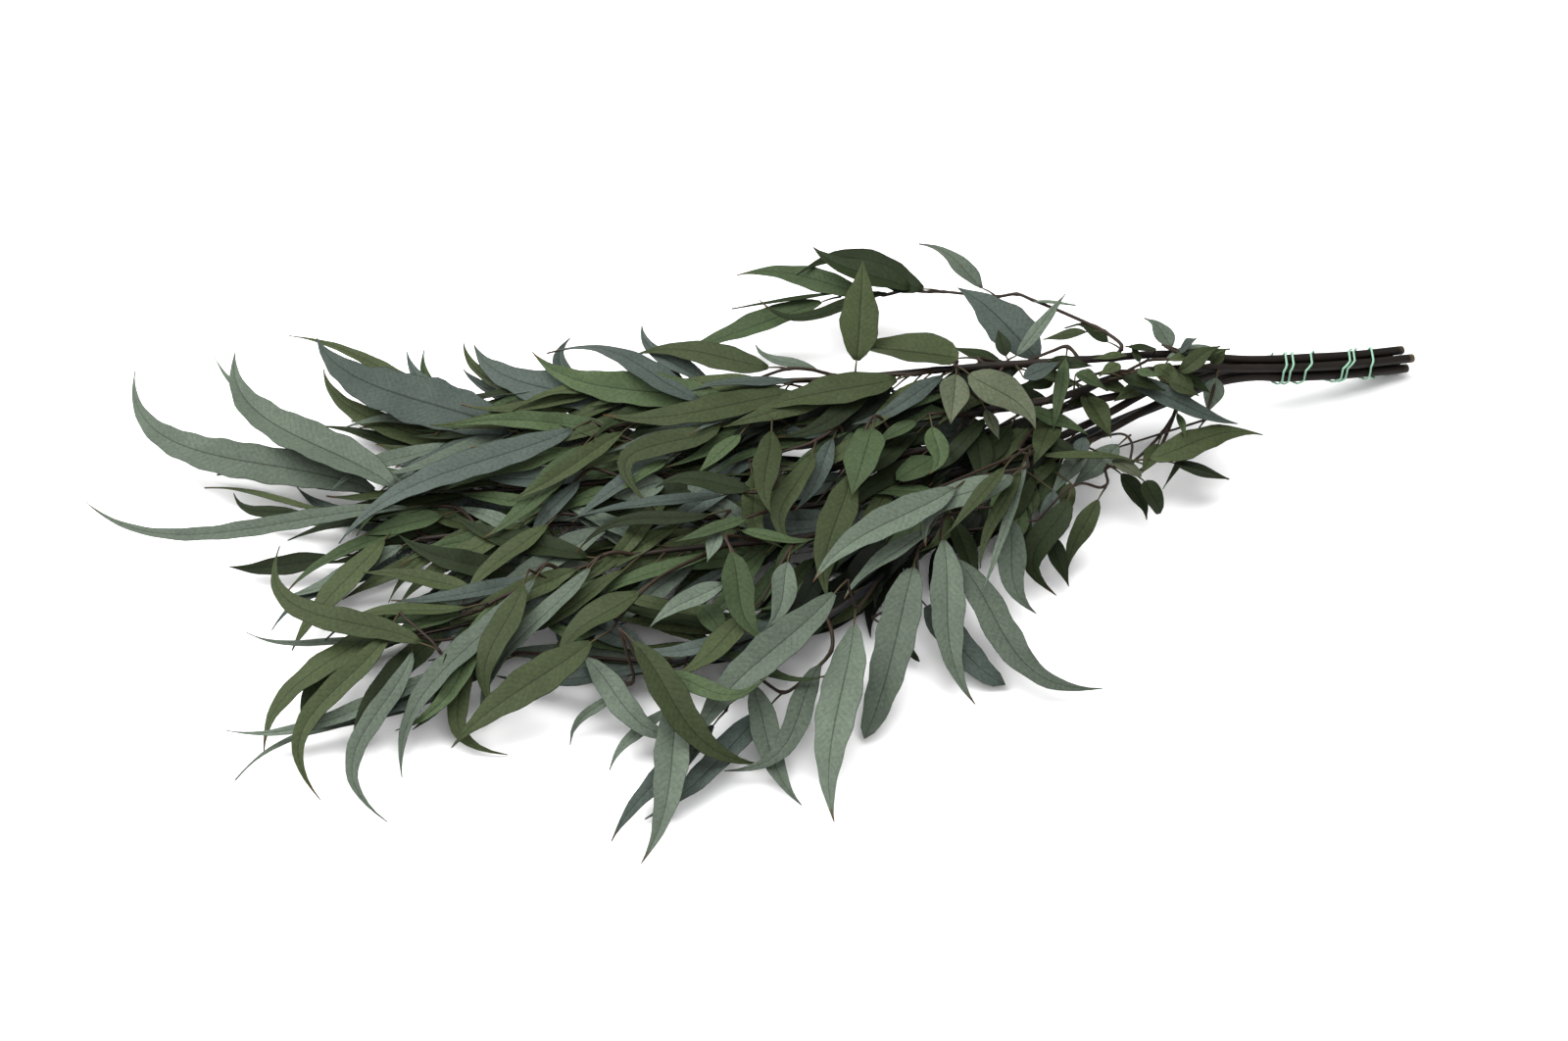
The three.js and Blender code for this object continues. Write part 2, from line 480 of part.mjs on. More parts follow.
function settle() {
  const links = addChains();
  const pairs = meetings();
  const stays = (i) => chains[spots[i].chain].kind === 'branch';
  for (let round = 0; round < ROUNDS; round++) {
    const rise = new Float64Array(spots.length);
    const sink = new Float64Array(spots.length);
    for (const [upper, lower] of pairs) {
      const [p, q] = [spots[upper], spots[lower]];
      const short = p.tall + q.tall + REST_GAP - (p.p.z - q.p.z);
      if (short <= 0) continue;
      const share = stays(upper) || stays(lower) ? 1 : 0.5;
      rise[upper] = Math.max(rise[upper], short * share);
      sink[lower] = Math.max(sink[lower], short * share);
    }
    for (const [a, b] of links) {
      const gap = (spots[a].p.z - spots[a].start) - (spots[b].p.z - spots[b].start);
      rise[b] += gap / 4;
      rise[a] -= gap / 4;
    }
    const drift = spots.map((spot, i) => spot.p.z + PACE * (rise[i] - sink[i]) - spot.start);
    const smoothing = round < ROUNDS - LAST_ROUNDS ? SMOOTHING : LAST_SMOOTHING;
    for (const chain of chains.filter((one) => one.kind !== 'branch')) {
      for (let k = 0; k < chain.count; k++) {
        const i = chain.first + k;
        const before = drift[k > 0 ? i - 1 : i];
        const after = drift[k < chain.count - 1 ? i + 1 : i];
        const held = chain.kind === 'shoot' && k === 0;
        const moved = held ? 0 : mix(drift[i], (before + after) / 2, smoothing) * FADE;
        spots[i].p.z = Math.max(spots[i].start + moved, spots[i].tall + TABLE_GAP);
        spots[i].p.y = spots[i].v - spots[i].p.z;
      }
    }
  }
}
settle();

// ---- Solids -------------------------------------------------------------------------------

function leafSolid(leaf, grow) {
  const node = leaf.shoot.line[leaf.shoot.nodes[leaf.shoot.leaves.indexOf(leaf)]];
  const at = (s) => {
    const f = s * (leaf.line.length - 1);
    const i = Math.min(Math.floor(f), leaf.line.length - 2);
    return leaf.line[i].clone().lerp(leaf.line[i + 1], f - i);
  };
  const first = at(LEAF_STATIONS[0]);
  const stalk = first.clone().sub(node).normalize();
  const stalkRadius = PETIOLE_RADIUS + grow;
  const rings = [
    { centre: node.clone().addScaledVector(stalk, -SHOOT_RADIUS), along: stalk, half: stalkRadius,
      rise: 0, thick: stalkRadius },
    { centre: first, along: stalk, half: stalkRadius, rise: 0, thick: stalkRadius }];
  for (const s of LEAF_STATIONS.slice(1)) {
    const half = (leaf.width / 2) * shape(leaf)(s);
    rings.push({ centre: at(s), along: at(Math.min(1, s + 0.05)).sub(at(s - 0.05)).normalize(),
      half: half + EDGE_GROWTH * grow, rise: CUP * half,
      thick: LEAF_THICKNESS / 2 + FACE_GROWTH * grow });
  }
  const firstSide = new THREE.Vector3().crossVectors(UP, leaf.tip.clone().sub(leaf.base)).normalize();
  const directions = carried(rings.map((ring) => ring.along), firstSide);
  const corners = rings.map(({ centre, along, half, rise, thick }, i) => {
    const [side, up] = directions[i].map((way) => way.clone().applyAxisAngle(along, leaf.roll));
    const point = (sideways, upwards) => centre.clone().addScaledVector(side, sideways)
      .addScaledVector(up, upwards);
    return [point(half, rise), point(0, thick), point(-half, rise), point(0, -thick)];
  });
  const onwards = at(1).sub(at(0.9)).normalize();
  corners.push([at(1).addScaledVector(onwards, TIP_GROWTH * grow)]);
  return solidOf(skin(corners));
}

// Every few points of a line, its two ends and the points named in keep.
function thinned(line, stride, keep) {
  return line.filter((_, i) => i === line.length - 1 || keep.includes(i)
    || (i % stride === 0 && !keep.includes(i - 1) && !keep.includes(i + 1)));
}

function stemSolid(branch, grow) {
  return rod(thinned(branch.line, 4, []), (s) => stemRadius(branch)(s) + grow, STEM_SIDES);
}

function shootSolid(shoot, grow) {
  const line = thinned(shoot.line, 3, shoot.nodes);
  return rod(line, (s) => mix(SHOOT_RADIUS, SHOOT_TIP_RADIUS, s) + grow, SHOOT_SIDES);
}

// A taut string round the bundle: it runs round each branch in turn and straight between them.
function stringLine() {
  const centre = smoothLine(BUNDLE.map(vec), 2);
  const line = [];
  const steps = STRING_STOPS.length - 1;
  for (let k = 0; k <= steps * STRING_STEPS; k++) {
    const share = k / STRING_STEPS;
    const i = Math.min(Math.floor(share), steps - 1);
    const x = mix(STRING_STOPS[i], STRING_STOPS[i + 1], share - i);
    const middle = pointAtX(centre, x);
    const along = pointAtX(centre, x - 3).sub(middle).normalize();
    const [side, up] = across(along);
    const turn = Math.PI * (STRING_START - share);
    const out = side.clone().multiplyScalar(-Math.cos(turn)).addScaledVector(up, Math.sin(turn));
    let best = null;
    for (const branch of Object.values(BRANCHES)) {
      const stem = pointAtX(branch.line, x);
      const reach = stem.clone().sub(middle).dot(out) + branch.radius;
      if (!best || reach > best.reach) best = { reach, stem, branch };
    }
    line.push(best.stem.addScaledVector(out, best.branch.radius + GAP + STRING_RADIUS));
  }
  return line;
}

// ---- The part -----------------------------------------------------------------------------

const part = new THREE.Group();
part.name = 'eucalyptus_branch';

function addNode(name, solid, color) {
  const mesh = solid.getMesh();
  const geometry = new THREE.BufferGeometry();
  geometry.setAttribute('position', new THREE.BufferAttribute(mesh.vertProperties.slice(), 3));
  geometry.setIndex([...mesh.triVerts]);
  const node = new THREE.Mesh(geometry, new THREE.MeshStandardMaterial({ color, roughness: 0.6 }));
  node.name = name;
  part.add(node);
}

function largest(solid) {
  return solid.decompose().reduce((best, piece) => (piece.volume() > best.volume() ? piece : best));
}

const stems = Object.entries(BRANCHES).map(([name, branch]) => ({ name, solid: stemSolid(branch, 0),
  grown: stemSolid(branch, GAP) }));
for (const stem of stems) addNode(`stem_${stem.name}`, stem.solid, BARK);

const cord = stringLine();
addNode('tie_string', rod(cord, () => STRING_RADIUS, STRING_SIDES), MINT);

function less(solid, cutters) {
  let rest = solid;
  for (const cutter of cutters) rest = rest.subtract(cutter);
  return rest;
}

const grownStems = stems.map((stem) => stem.grown);
const grownShoots = SHOOTS.map((shoot) => shootSolid(shoot, GAP));
const grownLeaves = [];
SHOOTS.forEach((shoot, n) => {
  const otherShoots = grownShoots.filter((_, k) => k !== n);
  const cutters = [...grownStems, ...otherShoots, ...grownLeaves];
  const twig = less(shootSolid(shoot, 0), [...grownStems, ...grownShoots.slice(0, n)]);
  const blades = shoot.leaves.map((leaf) => less(leafSolid(leaf, 0), cutters));
  const joined = largest(blades.reduce((sum, blade) => sum.add(blade), twig));
  const smoothed = largest(joined.asOriginal().simplify(SMALLEST_DETAIL));
  const number = String(n + 1).padStart(2, '0');
  const tone = TONES[shoot.leaves[0].tone];
  addNode(`shoot_${number}`, smoothed, tone);
  grownLeaves.push(...shoot.leaves.map((leaf) => leafSolid(leaf, GAP)));
});

const box = new THREE.Box3().setFromObject(part);
const shift = new THREE.Vector3(-(box.min.x + box.max.x) / 2, -(box.min.y + box.max.y) / 2, -box.min.z);
for (const node of part.children) node.geometry.translate(shift.x, shift.y, shift.z);

export default part;
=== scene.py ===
# A bunch of preserved willow eucalyptus, tied with mint string, lying on a white table.
# The branches, shoots and leaves follow the CAD part: the same places, in millimetres in the
# part's own layout, are moved into the row frame and turned to metres.
import math

import bpy
import numpy as np
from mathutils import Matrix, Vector


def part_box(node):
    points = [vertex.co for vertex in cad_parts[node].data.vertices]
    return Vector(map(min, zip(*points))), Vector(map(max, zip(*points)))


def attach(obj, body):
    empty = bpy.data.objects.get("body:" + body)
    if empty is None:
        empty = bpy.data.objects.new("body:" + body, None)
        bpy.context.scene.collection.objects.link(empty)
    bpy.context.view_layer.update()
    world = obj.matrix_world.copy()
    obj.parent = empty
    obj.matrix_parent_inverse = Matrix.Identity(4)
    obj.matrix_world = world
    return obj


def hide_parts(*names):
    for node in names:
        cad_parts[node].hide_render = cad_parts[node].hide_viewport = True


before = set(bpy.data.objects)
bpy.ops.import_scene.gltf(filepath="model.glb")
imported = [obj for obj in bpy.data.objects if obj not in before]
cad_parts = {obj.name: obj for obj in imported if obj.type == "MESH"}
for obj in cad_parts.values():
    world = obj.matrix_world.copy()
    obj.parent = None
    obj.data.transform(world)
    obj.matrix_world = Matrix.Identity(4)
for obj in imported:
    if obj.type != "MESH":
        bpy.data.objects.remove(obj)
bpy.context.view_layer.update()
scene = bpy.context.scene

# ---- Sizes, mm, as in the CAD part, with a thinner leaf stalk -----------------------------

STEM_RADIUS = 2.7
STEM_TIP_RADIUS = 1.1
BUNDLE_RADIUS = 5.9
SHOOT_RADIUS = 1.2
SHOOT_TIP_RADIUS = 0.7
PETIOLE_LENGTH = 11
PETIOLE_RADIUS = 0.6
LEAF_THICKNESS = 0.9
STRING_RADIUS = 0.7
GAP = 0.35
REST_GAP = 0.9
ARCH = 0.05
ROLL = math.radians(16)
STRING_STOPS = [315, 317.5, 323, 321.5, 327.5, 330, 341, 353.5, 366.5, 356.5, 369.5, 374.5,
                379, 381.5]
STRING_START = 0.25
SAMPLE_STEP = 6
TABLE_GAP = 0.3  # least height of an underside over the table
TAPER_POWER = 1.2  # above 1, a branch thins late along its length

# How lines settle onto each other; the rounds' numbers are those of the part's own layout.
SETTLE_ROUNDS = 90
LAST_ROUNDS = 4  # these smooth less, so that the gaps come out exact
SMOOTHING = 0.45  # how far a point's lift follows its neighbours' in one round
LAST_SMOOTHING = 0.1
PACE = 0.8  # share of a missing gap that one round opens
FADE = 0.995  # a lift that nothing holds up fades away by this in one round
ROLL_SHARE = 0.55  # share of a rolled edge's height that its neighbours keep clear of
CUP_SHARE = 0.04  # the same for the cupped section, as a share of the half width
FREE_SHARE = 0.15  # of a leaf's length, which may touch leaves of its own shoot
FREE_POINTS = 3  # of a shoot, which may touch the branch it grows from
REACH_MARGIN = 1  # sideways, within which two points count as over each other

STRING_STEPS = 27
GOLDEN_ANGLE = math.pi * (3 - math.sqrt(5))
UP = np.array([0.0, 0.0, 1.0])

# The middle of the tied bundle, from the cut ends inwards.
BUNDLE = [[398, 159, 10], [362, 145, 18], [320, 132, 27], [292, 125, 33]]

# Each branch: its place in the bundle, how far its cut end stands out, its way in the leaves.
BRANCHES = {
    "back": dict(turn=65, cut=2, way=[[250, 119, 50], [200, 105, 58], [150, 96, 62], [100, 90, 62],
        [50, 88, 58], [0, 92, 52], [-60, 97, 44], [-110, 108, 36]]),
    "upper": dict(turn=137, cut=6, way=[[250, 108, 48], [215, 98, 50], [185, 82, 50], [150, 73, 49],
        [100, 66, 47], [50, 64, 44], [0, 65, 42], [-60, 69, 38], [-120, 80, 31], [-165, 74, 22]]),
    "middle": dict(turn=None, cut=0, way=[[250, 103, 39], [200, 88, 40], [150, 70, 37], [100, 52, 35],
        [50, 42, 33], [0, 38, 32], [-60, 34, 30], [-120, 30, 26], [-176, 30, 22]]),
    "lower": dict(turn=353, cut=-2, way=[[250, 111, 36], [200, 78, 32], [150, 52, 29], [100, 34, 28],
        [50, 18, 27], [0, 8, 27], [-60, 4, 26], [-120, 2, 23], [-186, -3, 18]]),
    "front": dict(turn=209, cut=4, way=[[250, 103, 29], [200, 70, 26], [150, 38, 28], [100, 12, 29],
        [50, -8, 29], [0, -18, 30], [-50, -27, 32], [-100, -38, 28], [-150, -58, 22], [-171, -67, 20]]),
    "near": dict(turn=281, cut=3, radius=3.4, out=6.6, way=[[250, 108, 22], [205, 90, 14],
        [160, 62, 12], [130, 30, 12], [95, -14, 20], [45, -70, 26], [-10, -92, 24], [-46, -101, 20]]),
}

SHOOTS = [
    dict(on="middle", x=-170, leaves=[
        [-192, 30, 23, -323, 148, 22, 12, 10, "sage"], [-200, 32, 24, -308, 141, 32, 30, 20, "sage"],
        [-212, 34, 19, -372, 144, 14, 24, 32, "sage"], [-232, 40, 14, -311, 63, 5, 7, -5, "dark"]]),
    dict(on="lower", x=-150, leaves=[
        [-172, 12, 22, -217, 4, 14, 16, 0, "fern"], [-190, 17, 23, -380, 27, 20, 12, 26, "sage"],
        [-238, 19, 18, -315, 47, 10, 6, -4, "olive"], [-252, 19, 15, -296, 38, 14, 8, 8, "dark"]]),
    dict(on="lower", x=-180, leaves=[
        [-208, 14, 15, -275, 22, 8, 13, 0, "olive"], [-203, -6, 21, -249, -74, 3, 18, -3, "olive"],
        [-232, -12, 12, -292, -14, 7, 13, 3, "dark"]]),
    dict(on="middle", x=-120, leaves=[
        [-140, 40, 26, -242, 36, 14, 18, 6, "olive"], [-156, 48, 24, -205, 60, 14, 9, -4, "slate"]]),
    dict(on="upper", x=-115, leaves=[
        [-136, 70, 33, -262, 160, 27, 36, 14, "slate"], [-150, 84, 26, -204, 137, 36, 15, 8, "slate"],
        [-170, 95, 28, -281, 170, 20, 9, -7, "olive"]]),
    dict(on="upper", x=-140, leaves=[
        [-152, 66, 20, -196, 150, 26, 13, 8, "fern"], [-160, 64, 17, -258, 147, 14, 17, 14, "olive"],
        [-168, 60, 13, -258, 104, 6, 10, -5, "dark"]]),
    dict(on="upper", x=-60, leaves=[
        [-70, 50, 44, -158, 79, 32, 12, -12, "fern"], [-98, 59, 46, -228, -12, 24, 20, -14, "slate"]]),
    dict(on="upper", x=-50, leaves=[
        [-64, 80, 41, -165, 148, 32, 28, 14, "slate"], [-100, 98, 30, -107, 152, 34, 12, 8, "slate"]]),
    dict(on="back", x=10, leaves=[
        [-8, 74, 52, -127, 123, 48, 22, 14, "fern"], [-26, 72, 56, -117, 113, 56, 24, -16, "slate"]]),
    dict(on="back", x=50, leaves=[
        [30, 76, 58, -82, 66, 50, 20, 8, "olive"], [14, 88, 54, -56, 99, 46, 13, 2, "olive"]]),
    dict(on="back", x=60, leaves=[
        [42, 104, 50, 5, 132, 46, 10, 6, "sage"], [14, 98, 58, -66, 116, 52, 18, -8, "olive"],
        [-22, 96, 47, -63, 145, 50, 14, 8, "slate"], [-36, 99, 43, -60, 121, 44, 9, 0, "sage"]]),
    dict(on="back", x=110, leaves=[
        [88, 84, 61, 5, 62, 56, 21, -3, "olive"], [64, 98, 62, 69, 164, 84, 24, 0, "olive"]]),
    dict(on="upper", x=80, leaves=[
        [62, 64, 50, -30, 54, 46, 11, -6, "olive"], [40, 56, 48, 0, 45, 46, 11, -4, "fern"],
        [22, 57, 46, 62, 50, 42, 12, 8, "slate"]]),
    dict(on="upper", x=0, leaves=[
        [-14, 52, 56, -50, -6, 44, 16, -34, "olive"], [-44, 33, 46, -72, 12, 40, 10, 0, "fern"],
        [-58, 40, 42, -85, 27, 37, 13, -4, "fern"]]),
    dict(on="upper", x=25, leaves=[
        [15, 44, 58, 15, -17, 52, 16, -4, "olive"], [-3, 44, 55, -26, 16, 52, 13, 0, "fern"]]),
    dict(on="upper", x=-30, leaves=[
        [-70, 54, 48, -133, 5, 40, 12, 3, "olive"], [-92, 46, 45, -146, -16, 32, 17, 4, "fern"],
        [-100, 51, 38, -173, 26, 26, 19, -5, "fern"]]),
    dict(on="middle", x=60, leaves=[
        [50, 46, 50, 28, -4, 42, 11, 3, "slate"], [38, 30, 53, 28, -34, 42, 16, -12, "olive"],
        [4, 17, 50, 21, -33, 42, 14, -10, "olive"]]),
    dict(on="middle", x=20, leaves=[
        [4, -6, 60, -49, -4, 60, 14, -8, "dark"], [-12, 4, 46, -100, -6, 36, 12, -3, "slate"],
        [-46, 24, 38, -75, 14, 34, 18, 0, "sage"]]),
    dict(on="middle", x=-46, leaves=[
        [-74, 18, 38, -106, 4, 30, 14, -3, "fern"], [-94, 22, 40, -118, -20, 30, 11, -5, "slate"],
        [-118, 14, 29, -166, 31, 21, 9, 0, "fern"]]),
    dict(on="middle", x=90, leaves=[
        [72, 44, 60, 60, -2, 52, 24, 0, "fern"], [60, 16, 52, 46, -67, 36, 20, -6, "olive"]]),
    dict(on="upper", x=130, leaves=[
        [106, 43, 62, 104, 15, 52, 13, 5, "fern"], [98, 56, 54, 74, 44, 48, 12, 0, "fern"]]),
    dict(on="upper", x=152, leaves=[
        [132, 62, 46, 135, 22, 36, 18, 0, "dark"], [108, 40, 41, 86, 25, 38, 20, 0, "fern", "blunt"]]),
    dict(on="lower", x=30, leaves=[
        [2, -18, 50, -38, -31, 44, 9, 0, "fern"], [-2, -24, 46, 40, -28, 44, 9, -4, "fern"],
        [-14, -26, 48, -20, -44, 42, 10, 0, "sage"], [-18, -16, 51, -93, -29, 34, 9, -14, "dark"]]),
    dict(on="lower", x=-70, leaves=[
        [-110, -6, 33, -155, -55, 22, 14, -4, "olive"], [-124, 0, 29, -192, -49, 12, 16, -6, "olive"],
        [-112, -14, 20, -203, -9, 9, 11, 0, "slate"]]),
    dict(on="front", x=-105, leaves=[
        [-150, -68, 31, -228, -80, 18, 12, -12, "olive"], [-154, -70, 28, -196, -76, 18, 8, 0, "fern"],
        [-198, -76, 14, -274, -68, 11, 5, 6, "sage"]]),
    dict(on="front", x=-165, leaves=[
        [-190, -70, 27, -254, -147, 4, 20, -14, "olive"], [-200, -72, 23, -236, -130, 6, 15, -8, "fern"]]),
    dict(on="front", x=-100, leaves=[
        [-114, -50, 36, -179, -164, 3, 17, -16, "sage"], [-152, -90, 20, -125, -148, 2, 12, -18, "olive"],
        [-178, -96, 27, -184, -193, 2, 12, -22, "sage"]]),
    dict(on="front", x=-60, leaves=[
        [-84, -44, 38, -140, -128, 4, 15, -12, "sage"], [-97, -56, 24, -98, -84, 8, 14, 0, "slate"],
        [-120, -59, 40, -132, -125, 12, 17, -10, "olive"]]),
    dict(on="near", x=-40, leaves=[
        [-130, -94, 16, -228, -132, 8, 22, 4, "slate"], [-150, -100, 18, -275, -138, 10, 10, 12, "sage"],
        [-165, -117, 11, -267, -165, 2, 8, -12, "sage"],
        [-172, -98, 34, -259, -22, 32, 16, 24, "olive"],
        [-190, -84, 33, -220, -179, 3, 14, -23, "olive"]]),
    dict(on="front", x=-10, leaves=[
        [-56, -68, 44, -98, -106, 28, 22, -8, "olive"], [-80, -101, 40, -154, -146, 6, 22, -4, "olive"]]),
    dict(on="near", x=-38, leaves=[
        [-42, -117, 32, 13, -121, 35, 11, -14, "fern"], [-58, -108, 48, 10, -161, 10, 19, -14, "olive"],
        [-68, -122, 22, -92, -141, 2, 6, -6, "sage"],
        [-85, -100, 26, -25, -147, 14, 15, -12, "sage"]]),
    dict(on="near", x=0, leaves=[
        [-15, -98, 30, 45, -115, 28, 9, -8, "fern"], [-33, -118, 22, -51, -220, 2, 19, 6, "sage"],
        [-40, -127, 16, -70, -159, 3, 9, -4, "sage"]]),
    dict(on="near", x=45, leaves=[
        [42, -103, 24, -9, -162, 6, 14, 16, "sage"], [15, -121, 11, -50, -192, 3, 18, 4, "slate"],
        [5, -112, 18, 31, -182, 2, 16, -5, "sage"], [-15, -137, 14, -67, -206, 2, 13, -4, "slate"]]),
    dict(on="near", x=75, leaves=[
        [60, -82, 34, 48, -194, 3, 24, -6, "sage"], [50, -74, 50, -28, -162, 14, 21, -10, "sage"]]),
    dict(on="near", x=105, leaves=[
        [93, -44, 38, 65, -138, 4, 22, 2, "sage", "blunt"],
        [100, -56, 20, 142, -100, 4, 18, -4, "slate", "blunt"],
        [78, -68, 14, 96, -84, 5, 9, 0, "dark", "blunt"]]),
    dict(on="near", x=125, leaves=[
        [104, -20, 45, 55, -64, 34, 14, -4, "sage"], [110, -26, 42, 125, -114, 4, 20, -8, "sage"],
        [116, -34, 35, 195, -102, 3, 21, -22, "sage"]]),
    dict(on="front", x=160, leaves=[
        [148, -4, 36, 162, -51, 8, 17, -8, "sage"], [118, 4, 26, 130, -35, 14, 15, 0, "dark"]]),
    dict(on="lower", x=175, leaves=[
        [155, 17, 54, 130, -43, 36, 9, -4, "olive"], [150, 8, 58, 100, -34, 44, 20, -16, "sage"],
        [118, 2, 54, 38, -57, 40, 20, -8, "sage"]]),
    dict(on="middle", x=175, leaves=[
        [172, 51, 43, 193, 43, 38, 10, 0, "dark"], [166, 37, 46, 227, 38, 38, 8, 4, "olive"],
        [160, 30, 50, 130, -58, 30, 6, 0, "sage"], [145, 8, 64, 112, -32, 52, 10, 0, "olive"]]),
    dict(on="front", x=40, leaves=[
        [24, -50, 48, 12, -90, 38, 15, 4, "sage"], [3, -83, 42, -37, -119, 32, 19, 4, "olive"]]),
    dict(on="front", x=10, leaves=[
        [-7, -46, 52, 16, -104, 40, 18, -8, "fern"], [-10, -64, 46, -50, -87, 36, 13, -3, "sage"],
        [-23, -69, 34, -8, -90, 30, 14, 0, "fern"]]),
    dict(on="near", x=258, leaves=[
        [247, 50, 27, 280, 48, 16, 15, 0, "dark"], [228, 34, 28, 238, 27, 9, 14, 0, "dark", "blunt"],
        [215, 38, 30, 231, 22, 9, 12, 3, "dark"], [200, 14, 33, 182, -19, 9, 12, -3, "olive"],
        [182, 6, 42, 174, -39, 10, 18, -16, "dark"], [170, -4, 24, 182, -28, 6, 12, 0, "dark"]]),
    dict(on="near", x=262, leaves=[
        [240, 68, 25, 227, 40, 28, 10, 0, "olive"], [232, 49, 31, 302, 77, 24, 18, 8, "olive"],
        [216, 57, 35, 188, 32, 26, 14, 0, "sage"], [197, 56, 32, 174, 25, 24, 13, 0, "sage"]]),
    dict(on="upper", x=281, leaves=[[277, 108, 41, 272, 94, 26, 13, 0, "sage"],
        [263, 70, 34, 242, 42, 14, 5, 0, "olive"]]),
    dict(on="upper", x=235, leaves=[
        [218, 92, 56, 287, 80, 30, 14, -4, "slate"], [197, 88, 46, 211, 62, 36, 17, 0, "olive"]]),
    dict(on="back", x=262, leaves=[
        [254, 114, 57, 262, 112, 68, 12, 0, "slate"], [250, 116, 58, 235, 133, 66, 14, -3, "sage"],
        [246, 108, 56, 276, 112, 60, 10, 4, "sage"]]),
    dict(on="upper", x=262, leaves=[
        [245, 88, 56, 262, 80, 52, 10, 0, "olive"], [230, 94, 52, 252, 86, 48, 10, 0, "olive"],
        [206, 96, 50, 226, 88, 46, 12, 0, "olive"]]),
    dict(on="back", x=195, leaves=[
        [186, 103, 60, 177, 61, 42, 9, 0, "fern"], [165, 99, 54, 200, 94, 46, 14, 0, "olive"]]),
    dict(on="back", x=215, leaves=[
        [212, 116, 62, 188, 131, 60, 12, -8, "dark"], [200, 124, 63, 176, 128, 54, 9, 0, "olive"],
        [170, 154, 61, 194, 140, 70, 4, 0, "sage"], [142, 173, 55, 105, 212, 58, 17, -6, "sage"],
        [108, 182, 47, 30, 204, 40, 22, -22, "dark"], [100, 184, 45, 40, 216, 52, 20, 6, "dark"],
        [86, 184, 42, 7, 187, 34, 12, 20, "dark"], [72, 189, 38, -7, 216, 30, 17, -8, "fern"],
        [56, 193, 35, -10, 186, 28, 5, 0, "dark"], [46, 188, 32, -45, 166, 7, 19, 0, "fern"]]),
    dict(on="back", x=190, leaves=[
        [172, 112, 52, 127, 177, 52, 29, -3, "slate"], [158, 110, 56, 188, 143, 76, 8, 0, "sage"],
        [152, 112, 54, 148, 129, 60, 9, 0, "dark"]]),
    dict(on="back", x=140, leaves=[
        [124, 102, 61, 68, 112, 62, 30, 0, "olive", "blunt"], [150, 112, 50, 122, 127, 48, 10, 0, "dark"]]),
    dict(on="back", x=150, leaves=[
        [138, 66, 54, 145, 50, 46, 9, 0, "pale"], [128, 82, 67, 165, 48, 56, 23, 6, "pale"],
        [121, 84, 65, 117, 52, 56, 18, 0, "pale"]]),
]


# ---- Curves -------------------------------------------------------------------------------

def unit(v):
    return v / np.linalg.norm(v)


def mix(a, b, t):
    return a + (b - a) * t


def smooth_line(points, step):
    """A Catmull-Rom line through the points, with its own points about a step apart."""
    points = [np.array(p, float) for p in points]
    line = []
    for i in range(len(points) - 1):
        b, c = points[i], points[i + 1]
        a = points[i - 1] if i > 0 else 2 * b - c
        d = points[i + 2] if i + 2 < len(points) else 2 * c - b
        count = max(1, math.floor(np.linalg.norm(c - b) / step + 0.5))
        for k in range(count):
            t = k / count
            line.append(0.5 * (2 * b + (c - a) * t + (2 * a - 5 * b + 4 * c - d) * t * t
                               + (3 * b - a - 3 * c + d) * t ** 3))
    line.append(points[-1].copy())
    return np.array(line)


def tangents(line):
    after = np.vstack([line[1:], line[-1:]])
    before = np.vstack([line[:1], line[:-1]])
    along = after - before
    return along / np.linalg.norm(along, axis=1)[:, None]


def across(along):
    """The two directions square to a tangent: sideways, and as near upright as it goes."""
    side = np.cross(UP, along)
    side = side / np.linalg.norm(side, axis=-1, keepdims=True)
    return side, np.cross(along, side)


def carried(along, first_side):
    """The two directions at each of a row of tangents, carried along without turning."""
    sides = []
    side = first_side
    for tangent in along:
        side = unit(side - tangent * (side @ tangent))
        sides.append(side)
    sides = np.array(sides)
    return sides, np.cross(along, sides)


def point_at_x(line, x):
    i = max(1, int(np.argmax(line[:, 0] < x)))
    return mix(line[i - 1], line[i], (line[i - 1, 0] - x) / (line[i - 1, 0] - line[i, 0]))


def resampled(line, count):
    """The line at count evenly spread shares of its points."""
    share = np.linspace(0, len(line) - 1, count)
    return np.stack([np.interp(share, np.arange(len(line)), line[:, k]) for k in range(3)], 1)


# ---- The layout: the same working as in the CAD part --------------------------------------

def bundled(i, branch):
    centre = np.array(BUNDLE[i], float)
    if branch["turn"] is None:
        return centre
    side, up = across(bundle_along[i])
    turn = math.radians(branch["turn"])
    return centre - side * branch["out"] * math.cos(turn) + up * branch["out"] * math.sin(turn)


def branch_line(branch):
    points = [bundled(i, branch) for i in range(len(BUNDLE))]
    points[0] = points[0] - bundle_along[0] * branch["cut"]
    return smooth_line(points + branch["way"], SAMPLE_STEP)


def stem_radius(branch, share):
    return mix(branch["radius"], STEM_TIP_RADIUS, share ** TAPER_POWER)


def sickle(s):
    """A leaf's width at a share of its length: widest two fifths of the way out, a long point."""
    return np.maximum(0, np.sin(np.pi * s ** 0.74)) ** 0.95 * (1 - 0.35 * s ** 3)


def blunt(s):
    """The same for a leaf that ends round."""
    return np.sqrt(np.maximum(0, 1 - (2 * s - 1) ** 8)) * mix(0.45, 1, np.sin(np.pi * s ** 0.7))


def leaf_shape(leaf, s):
    return blunt(s) if leaf["blunt"] else sickle(s)


